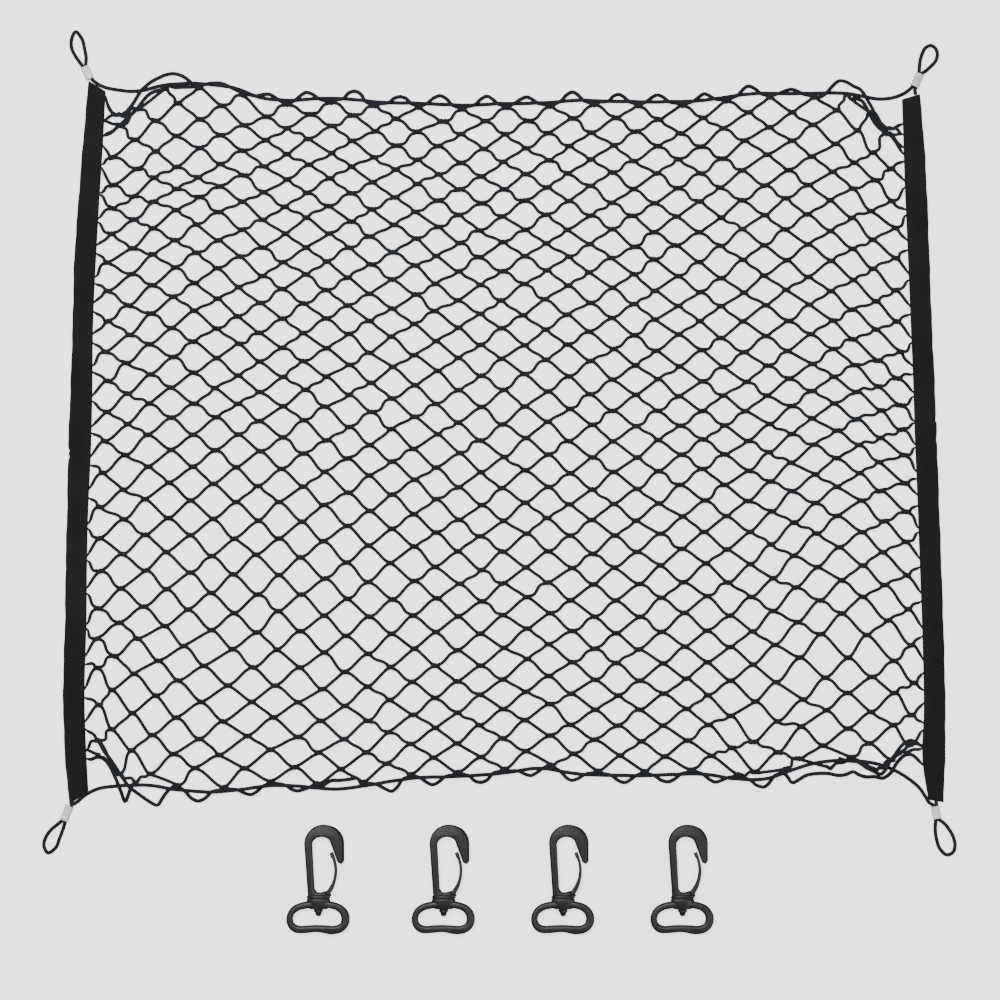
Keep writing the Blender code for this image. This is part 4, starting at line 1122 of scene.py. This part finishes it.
# ---------------------------------------------------------------- cords and crimps
def with_height(route, reach, lifts=()):
    """Gives a flat route its height: on the floor, and up to the crimps at its ends.

    Lifts are the places, as lengths along it, where a strand passes under it."""
    run = lengths_along(route)
    rise = np.maximum(np.maximum(1 - run / reach, 1 - (run[-1] - run) / reach), 0.0)
    ease = rise * rise * (3 - 2 * rise)
    high = CORD_D / 2 + (FERRULE_HIGH / 2 - CORD_D / 2) * ease
    for place in lifts:
        high = np.maximum(high, CORD_D / 2 + LIFT * np.exp(-((run - place) / CROSS_RISE) ** 2))
    return np.column_stack([route, high])


def tucked(path):
    """The path, run on a little into the crimp at both ends."""
    first = path[0] + (path[0] - path[1]) / np.linalg.norm(path[0] - path[1]) * TUCK
    last = path[-1] + (path[-1] - path[-2]) / np.linalg.norm(path[-1] - path[-2]) * TUCK
    return np.vstack([first, path, last])


class CARGO_OT_cords(bpy.types.Operator):
    """Makes the elastic cords along the net's edges, their corner loops and their tails"""
    bl_idname = "cargo.cords"
    bl_label = "Elastic cords"

    def execute(self, context):
        sizes = context.scene.cargo_cords
        finish = stranded_finish("elastic_braid", sizes.colour, plies=8, pitch=0.011, crossed=True,
                                 rough=0.6)
        plan = NetPlan()
        twine = TwineMaker(plan, context.scene.cargo_net)
        for which in ROUTES:
            _, under = border_strand(plan, twine, which)
            for name in GATHERED:
                if name[0] == which[0]:
                    under += gathered_strand(plan, name, twine.radius)[1]
            path = tucked(with_height(edge_plan(which, EDGE_POINTS), CORD_RISE, under))
            self.lay(f"cord_{which}", path, sizes, finish)
        for name, outer, inner, route in CORNERS:
            start = leg(outer, inner, False, route[0])
            end = leg(outer, inner, False, route[-1])
            path = tucked(with_height(led_path(start, route, end, LOOP_STEPS), LOOP_RISE))
            self.lay(f"loop_{name}", path, sizes, finish)
        for name, foot in TAIL_FEET.items():
            route = smooth_path([*leg(*corner_row(name)[1:3], True, foot), foot], TAIL_STEPS)
            self.lay(f"tail_{name}", with_height(route, CORD_RISE), sizes, finish)
        return {"FINISHED"}

    def lay(self, node, path, sizes, finish):
        mesh = strand_mesh(f"{node}_braid", [path], sizes.cord, sizes.sides, finish)
        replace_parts(add_piece(f"{node}_braid", mesh, finish, "root"), node)


class CARGO_OT_crimps(bpy.types.Operator):
    """Makes the white sleeves that are crimped over the cords at each corner"""
    bl_idname = "cargo.crimps"
    bl_label = "Crimps"

    SECTION_STEPS = 28
    WALL = 0.6  # thickness of the sleeve
    WIDE, HIGH = 8.6, 5.4  # over the cords that swell inside it
    BULGE = (0.8, 0.9)  # how far its flat sides bulge, across and up: 1 is an ellipse
    GRAIN, ROUGH, SHARP = 900.0, 0.38, 50.0
    # Columns: share of the sleeve's length, its width and its height as shares of the full ones
    STATIONS = ((0.0, 0.94, 0.94), (0.03, 1.0, 1.0), (0.16, 1.0, 1.0), (0.25, 1.05, 0.8),
                (0.33, 1.05, 0.8), (0.42, 0.99, 0.97), (0.58, 0.99, 0.97), (0.67, 1.05, 0.8),
                (0.75, 1.05, 0.8), (0.84, 1.0, 1.0), (0.97, 1.0, 1.0), (1.0, 0.94, 0.94))

    def execute(self, context):
        colour = context.scene.cargo_cords.crimp_colour
        finish = moulded_finish("crimp_white", colour, self.ROUGH, self.GRAIN)
        for name, outer, inner, _ in CORNERS:
            mesh = self.sleeve(f"crimp_{name}", np.array(outer), np.array(inner))
            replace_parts(add_piece(f"crimp_{name}", mesh, finish, "root"),
                        f"ferrule_{name}")
        return {"FINISHED"}

    def sleeve(self, name, outer, inner):
        along = (inner - outer) / np.linalg.norm(inner - outer)
        side = np.array([-along[1], along[0]])
        angles = np.linspace(0.0, 2 * math.pi, self.SECTION_STEPS, endpoint=False)
        round_x, round_z = (np.sign(turn(angles)) * np.abs(turn(angles)) ** bulge
                            for turn, bulge in zip((np.cos, np.sin), self.BULGE))
        rings = []
        for wall, stations in ((0.0, self.STATIONS), (self.WALL, self.STATIONS[::-1])):
            for share, wide, high in stations:
                middle = outer + (inner - outer) * share
                across = (self.WIDE * wide / 2 - wall) * round_x
                up = (self.HIGH * high / 2 - wall) * round_z
                rings.append([(*(middle + side * a), FERRULE_HIGH / 2 + z)
                              for a, z in zip(across, up)])
        points = [p for ring in rings for p in ring]
        faces = between_rings(len(rings), self.SECTION_STEPS, closed=True)
        mesh = mesh_of(name, points, faces=faces)
        outward(mesh)
        smooth_with_corners(mesh, self.SHARP)
        return mesh


# ---------------------------------------------------------------- bands
class CARGO_OT_bands(bpy.types.Operator):
    """Folds the webbing over the net's side edges and sews it"""
    bl_idname = "cargo.bands"
    bl_label = "Bands"

    STEPS = 210
    FOLD_STEPS = 8
    UNDER_STEPS, OVER_STEPS = 5, 7  # from the inner edge to the fold, and back over it
    SEAMS = (3.2, 6.4)  # inner edge to each seam
    SEAM_ENDS = 3  # steps from a band's end to the first stitch
    STITCH_UP = 0.12  # how far a stitch stands out of the webbing
    SEEDS = {"left": 31, "right": 32}
    # Ripples of the folded edge, the face and the free edge. Columns: height, run.
    EDGE = ((0.22, 9.0), (0.16, 3.7))
    FACE = ((0.18, 13.0), (0.12, 5.1))
    LIP = ((0.25, 7.0), (0.15, 2.9))
    LIP_UP = 0.2  # how far the free edge stands off the net
    UNDER_LAP = 0.4  # how far the lower layer shows past the upper one
    SHARP = 55.0

    def execute(self, context):
        sizes = context.scene.cargo_bands
        finish = webbing_finish("band_webbing", sizes.colour, sizes.rib)
        thread = stranded_finish("band_thread", sizes.colour, plies=2, pitch=0.002, crossed=False,
                                 rough=0.55)
        for side, table in (("left", LEFT_BAND), ("right", RIGHT_BAND)):
            rows = smooth_path(table, self.STEPS)
            mesh, tops = self.folded(f"band_{side}_webbing", side, rows, sizes)
            band = add_piece(f"band_{side}_webbing", mesh, finish, "root")
            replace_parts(band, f"band_{side}")
            seams = []
            sewn = slice(self.SEAM_ENDS, -self.SEAM_ENDS)
            for inset in self.SEAMS:
                line = []
                for row, top in zip(rows[sewn], tops[sewn]):
                    outer, inner = row[:2], row[2:]
                    wide = np.linalg.norm(outer - inner)
                    flat = inner + (outer - inner) * inset / wide
                    line.append((*flat, top(inset / wide) + self.STITCH_UP))
                seams.append(line)
            points = [p for line in seams for p in line]
            long = len(seams[0])
            edges = [(k, k + 1) for k in range(len(points) - 1) if (k + 1) % long]
            stitches = grown(mesh_of(f"seam_{side}", points, edges),
                             shared_tree("lay_stitches", stitch_tree),
                             {"Spacing": sizes.stitch, "Thread": STITCH_THREAD, "Finish": thread})
            seam = add_piece(f"seam_{side}", stitches, thread, "root")
        return {"FINISHED"}

    def folded(self, name, side, rows, sizes):
        """The webbing's closed section, swept down the band, and its top surface."""
        layer, thick = sizes.webbing / MM, sizes.thick / MM
        draw = np.random.default_rng(self.SEEDS[side])
        starts = draw.uniform(0.0, 2 * math.pi, 6)
        outer_r = thick / 2
        rings, ring_uv, tops = [], [], []
        run = lengths_along((rows[:, :2] + rows[:, 2:]) / 2)
        for row, at in zip(rows, run):
            outer, inner = row[:2], row[2:]
            wide = np.linalg.norm(outer - inner)
            across = (outer - inner) / wide
            edge, swell, lip = (
                sum(height * math.sin(at / length + start)
                    for (height, length), start in zip(ripples, starts[first:]))
                for ripples, first in ((self.EDGE, 0), (self.FACE, 2), (self.LIP, 4)))
            for where, y, deep in PUCKERS:
                if where == side:
                    edge -= deep * math.exp(-((outer[1] - y) / PUCKER_RUN) ** 2)
            reach = wide - outer_r + edge
            line = []  # the webbing's middle, from the lower layer's inner edge round the fold
            for t in np.linspace(0.0, 1.0, self.UNDER_STEPS + 1)[:-1]:
                line.append((t * (reach + self.UNDER_LAP) - self.UNDER_LAP, layer / 2))
            for a in np.linspace(-90.0, 90.0, self.FOLD_STEPS + 1):
                turn = math.radians(a)
                line.append((reach + (outer_r - layer / 2) * math.cos(turn),
                             outer_r + (outer_r - layer / 2) * math.sin(turn)))
            for t in np.linspace(1.0, 0.0, self.OVER_STEPS + 1)[1:]:
                puff = swell * math.sin(math.pi * t) + self.LIP_UP * (1 - t) * (1 + lip)
                line.append((t * reach + (1 - t) * lip, thick - layer / 2 + puff))
            line = np.array(line)
            normal = sideways(line)
            walls = np.vstack([line - normal * layer / 2, (line + normal * layer / 2)[::-1]])
            rings.append([(*(inner + across * s), z) for s, z in walls])
            length = lengths_along(line)
            ring_uv.append([(s * MM, at * MM) for s in (*length, *length[::-1])])
            top = line[-self.OVER_STEPS:][::-1]
            tops.append(lambda share, top=top, layer=layer, wide=wide: float(np.interp(
                share * wide, top[:, 0], top[:, 1])) + layer / 2)
        n = len(rings[0])
        points = [p for ring in rings for p in ring]
        faces = between_rings(len(rings), n)
        half = n // 2
        for first, flip in ((0, False), ((len(rings) - 1) * n, True)):
            for k in range(half - 1):
                face = (first + k, first + k + 1, first + n - 2 - k, first + n - 1 - k)
                faces.append(face[::-1] if flip else face)
        mesh = mesh_of(name, points, faces=faces)
        spots = [uv for ring in ring_uv for uv in ring]
        layer_uv = mesh.uv_layers.new(name="weave")
        for loop in mesh.loops:
            layer_uv.data[loop.index].uv = spots[loop.vertex_index]
        outward(mesh, merge=False)
        smooth_with_corners(mesh, self.SHARP)
        return mesh, tops


# ---------------------------------------------------------------- hooks
def moulding(name, loops, depth, rounding, z):
    """A flat moulding with rounded edges: closed outlines, the first around the others."""
    curve = bpy.data.curves.new(name, "CURVE")
    curve.dimensions = "2D"
    curve.fill_mode = "BOTH"
    curve.bevel_depth = rounding * MM
    curve.bevel_resolution = 3
    curve.extrude = (depth / 2 - rounding) * MM
    curve.offset = -rounding * MM
    for loop in loops:
        spline = curve.splines.new("POLY")
        spline.points.add(len(loop) - 1)
        spline.use_cyclic_u = True
        for spot, p in zip(spline.points, loop):
            spot.co = (p[0] * MM, p[1] * MM, 0.0, 1.0)
    flat = bpy.data.objects.new(name, curve)
    bpy.context.scene.collection.objects.link(flat)
    mesh = bpy.data.meshes.new_from_object(flat.evaluated_get(depsgraph()))
    bpy.data.objects.remove(flat)
    bpy.data.curves.remove(curve)
    mesh.transform(Matrix.Translation((0.0, 0.0, z * MM)))
    return mesh


def turned(name, stations, flat, sides, z):
    """A turned piece about the Y axis, flattened in Z. Stations are y and radius."""
    points = [(r * math.cos(a), y, z + r * math.sin(a) * flat) for y, r in stations
              for a in np.linspace(0.0, 2 * math.pi, sides, endpoint=False)]
    faces = between_rings(len(stations), sides)
    faces.append(tuple(range(sides)))
    faces.append(tuple(range((len(stations) - 1) * sides, len(points)))[::-1])
    return mesh_of(name, points, faces=faces)


def joined(name, meshes, x, y):
    """One mesh of several, moved to a place on the floor plan, in millimetres."""
    bm = bmesh.new()
    for mesh in meshes:
        bm.from_mesh(mesh)
    bmesh.ops.remove_doubles(bm, verts=bm.verts, dist=DOUBLES)
    bmesh.ops.recalc_face_normals(bm, faces=bm.faces)
    bmesh.ops.translate(bm, verts=bm.verts, vec=(x * MM, y * MM, 0.0))
    whole = bpy.data.meshes.new(name)
    bm.to_mesh(whole)
    bm.free()
    smooth_with_corners(whole)
    return whole


def head_outline():
    """The hook's one-piece head: spine, round back, beak and the seat of its gate."""
    far_lip, near_lip = SOCKET_LIPS
    socket = arc(GATE_PIVOT, (GATE_ROOT_R + PLAY,) * 2, near_lip, far_lip - 360.0, SOCKET_STEPS)
    mouth = arc(*HEAD_INNER, 180.0, MOUTH_SPREAD, MOUTH_STEPS)
    back = arc(*HEAD_OUTER, 0.0, 180.0, BACK_STEPS)
    return [SPINE_FOOT, *SHOULDER, *socket, *MOUTH_FLOOR[::-1], SPINE_INNER_FOOT, *mouth, *BEAK,
            *back]


def gate_outline():
    """The gate, from the round root in its socket to its thicker tip."""
    line = smooth_path(GATE_LINE, GATE_STEPS)
    share = np.linspace(0.0, 1.0, len(line))[:, None]
    stations, left_wide, right_wide = zip(*GATE_SIDES)
    side = sideways(line)
    way = line[1] - line[0]
    lean = math.degrees(math.atan2(way[1], way[0]))
    start, end = (lean + turn for turn in GATE_ROOT_ARC)
    root = arc(GATE_PIVOT, (GATE_ROOT_R + PLAY - FIT,) * 2, start, end, SOCKET_STEPS)
    left = [tuple(p) for p in (line + side * np.interp(share, stations, left_wide))[2:]]
    right = [tuple(p) for p in (line - side * np.interp(share, stations, right_wide))[2:]]
    return root + right + left[::-1]


def gate_ridge(off):
    """A fine ridge along the lower half of the gate, beside its middle line."""
    line = smooth_path(GATE_LINE, GATE_STEPS)[RIDGE_STEPS]
    side = sideways(line)
    taper = np.linspace(1.0, RIDGE_CLOSING, len(line))[:, None]
    left, right = (line + side * (off * taper + half) for half in (RIDGE_HALF, -RIDGE_HALF))
    return [tuple(p) for p in (*right, *left[::-1])]


def face_outline():
    """The raised face of the head, which runs down the outer part of the spine."""
    (cx, cy), (rx, ry) = HEAD_OUTER
    (mx, my), (ax, ay) = HEAD_INNER
    over = []
    for angle in np.radians(np.linspace(0.0, 180.0, BACK_STEPS + 1)):
        inset = FACE_INSET + (FACE_WALL_INSET - FACE_INSET) * (1 + math.cos(angle)) / 2
        over.append((cx + (rx - inset) * math.cos(angle), cy + (ry - inset) * math.sin(angle)))
    mouth = arc((mx, my), (ax + FACE_INSET, ay + FACE_INSET), 180.0, MOUTH_SPREAD, MOUTH_STEPS)
    spine = []
    for y in FACE_ENDS:
        outer = np.interp(y, (SPINE_FOOT[1], cy), (SPINE_FOOT[0], cx - rx))
        inner = np.interp(y, (SPINE_INNER_FOOT[1], my), (SPINE_INNER_FOOT[0], mx - ax))
        spine.append((outer + (inner - outer) * FACE_SPINE_SHARE, y))
    foot = (SPINE_FOOT[0] + FACE_INSET, FACE_ENDS[0])
    return [foot, *spine, *mouth, *FACE_BEAK[::-1], *over]


def leaning(mesh):
    """Lets the wall of the hook's back and beak stand out towards the floor."""
    for vertex in mesh.vertices:
        x, y, z = vertex.co / MM
        beside = float(np.interp(x, LEAN_X, (0.0, 1.0)) * np.interp(y, LEAN_Y, (0.0, 1.0)))
        vertex.co.x += WALL_LEAN * beside * (1 - z / HOOK_DEPTH) * MM
    return mesh


class CARGO_OT_hooks(bpy.types.Operator):
    """Moulds the four swivel hooks: eye, head and sprung gate"""
    bl_idname = "cargo.hooks"
    bl_label = "Swivel hooks"

    GRAIN, ROUGH = 2400.0, 0.45

    def execute(self, context):
        sizes = context.scene.cargo_hooks
        finish = moulded_finish("hook_moulding", sizes.colour, self.ROUGH, self.GRAIN)
        for number, x in enumerate(HOOK_X, start=1):
            for part, body in (("eye", "root"), ("hook", f"head_{number}"),
                               ("gate", f"finger_{number}")):
                mesh = joined(f"{part}_{number}_moulding", self.forms(part, sizes), x, HOOK_Y)
                piece = add_piece(f"{part}_{number}_moulding", mesh, finish, body)
                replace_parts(piece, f"{part}_{number}")
        return {"FINISHED"}

    def forms(self, part, sizes):
        """The shapes that one part of a hook is moulded in."""
        z, flat = HOOK_DEPTH / 2, HOOK_DEPTH / 2 / COLLAR_R
        if part == "eye":
            outlines = [closed_smooth(corners, RING_STEPS) for corners in (EYE_OUTER, EYE_INNER)]
            return [moulding("ring", outlines, RING_DEPTH, RING_ROUNDING, z),
                    turned("barrel", BARREL, flat, TURNED_SIDES, z)]
        if part == "hook":
            head = moulding("head", [head_outline()], HOOK_DEPTH - 2 * HEAD_SUNK,
                            sizes.rounding / MM, z)
            return [leaning(head), moulding("face", [face_outline()], HOOK_DEPTH, FACE_ROUNDING, z),
                    turned("collar", COLLAR, flat, TURNED_SIDES, z),
                    turned("stub", STUB, 1.0, STUB_SIDES, z)]
        ridges = [moulding("ridge", [gate_ridge(off)], GATE_DEPTH + 2 * RIDGE_UP, RIDGE_ROUNDING, z)
                  for off in GATE_RIDGES]
        return [moulding("gate", [gate_outline()], GATE_DEPTH, GATE_ROUNDING, z), *ridges]


# ---------------------------------------------------------------- stage
class CARGO_OT_stage(bpy.types.Operator):
    """Lays the pale floor, and sets the soft light and the camera above the net"""
    bl_idname = "cargo.stage"
    bl_label = "Stage"

    def execute(self, context):
        self.floor()
        for row in LIGHTS:
            self.light(*row)
        self.daylight(context.scene)
        self.camera(context.scene)
        return {"FINISHED"}

    def floor(self):
        corners = [(x * FLOOR_HALF, y * FLOOR_HALF, -FLOOR_UNDER)
                   for x, y in ((-1, -1), (1, -1), (1, 1), (-1, 1))]
        mesh = mesh_of("floor", corners, faces=[(0, 1, 2, 3)])
        finish, shader, _ = new_finish("floor_paper", FLOOR_COLOUR, FLOOR_ROUGH)
        shader.inputs["Emission Color"].default_value = (1.0, 1.0, 1.0, 1.0)
        shader.inputs["Emission Strength"].default_value = FLOOR_GLOW
        floor = bpy.data.objects.new("floor", mesh)
        mesh.materials.append(finish)
        floor.visible_diffuse = False
        floor.visible_glossy = False
        bpy.context.scene.collection.objects.link(floor)

    def light(self, name, place, wide, power):
        lamp = bpy.data.lights.new(name, "AREA")
        lamp.energy = power
        lamp.size = wide
        obj = bpy.data.objects.new(name, lamp)
        obj.location = place
        obj.rotation_euler = Vector(place).to_track_quat("Z", "Y").to_euler()
        bpy.context.scene.collection.objects.link(obj)

    def daylight(self, scene):
        world = bpy.data.worlds.new("studio")
        world.use_nodes = True
        back = world.node_tree.nodes["Background"]
        back.inputs["Color"].default_value = (1.0, 1.0, 1.0, 1.0)
        back.inputs["Strength"].default_value = DAYLIGHT
        scene.world = world

    def camera(self, scene):
        lens = bpy.data.cameras.new("camera")
        lens.sensor_width = SENSOR_WIDE
        lens.lens = lens.sensor_width * CAMERA_UP / VIEW_WIDE
        eye = bpy.data.objects.new("camera", lens)
        eye.location = (VIEW_CENTRE[0] * MM, VIEW_CENTRE[1] * MM, CAMERA_UP * MM)
        scene.collection.objects.link(eye)
        scene.camera = eye


class CARGO_PT_panel(bpy.types.Panel):
    """Lists the sizes, the colours and the steps of the cargo net"""
    bl_idname = "CARGO_PT_panel"
    bl_label = "Cargo net"
    bl_space_type = "VIEW_3D"
    bl_region_type = "UI"
    bl_category = "Cargo net"

    def draw(self, context):
        layout = self.layout
        for name, _ in GROUPS:
            box = layout.box()
            group = getattr(context.scene, name)
            for prop in group.bl_rna.properties:
                if prop.identifier not in ("rna_type", "name"):
                    box.prop(group, prop.identifier)
        for step in STEPS:
            layout.operator(step.bl_idname)


GROUPS = (("cargo_net", NetSizes), ("cargo_cords", CordSizes), ("cargo_bands", BandSizes),
          ("cargo_hooks", HookSizes))
STEPS = (CARGO_OT_stage, CARGO_OT_net, CARGO_OT_cords, CARGO_OT_crimps, CARGO_OT_bands,
         CARGO_OT_hooks)


def register():
    for name, group in GROUPS:
        bpy.utils.register_class(group)
        setattr(bpy.types.Scene, name, bpy.props.PointerProperty(type=group))
    for step in STEPS:
        bpy.utils.register_class(step)
    bpy.utils.register_class(CARGO_PT_panel)


def unregister():
    bpy.utils.unregister_class(CARGO_PT_panel)
    for step in reversed(STEPS):
        bpy.utils.unregister_class(step)
    for name, group in reversed(GROUPS):
        delattr(bpy.types.Scene, name)
        bpy.utils.unregister_class(group)


def main():
    register()
    bpy.ops.cargo.stage()
    bpy.ops.cargo.net()
    bpy.ops.cargo.cords()
    bpy.ops.cargo.crimps()
    bpy.ops.cargo.bands()
    bpy.ops.cargo.hooks()


if __name__ == "__main__":
    main()
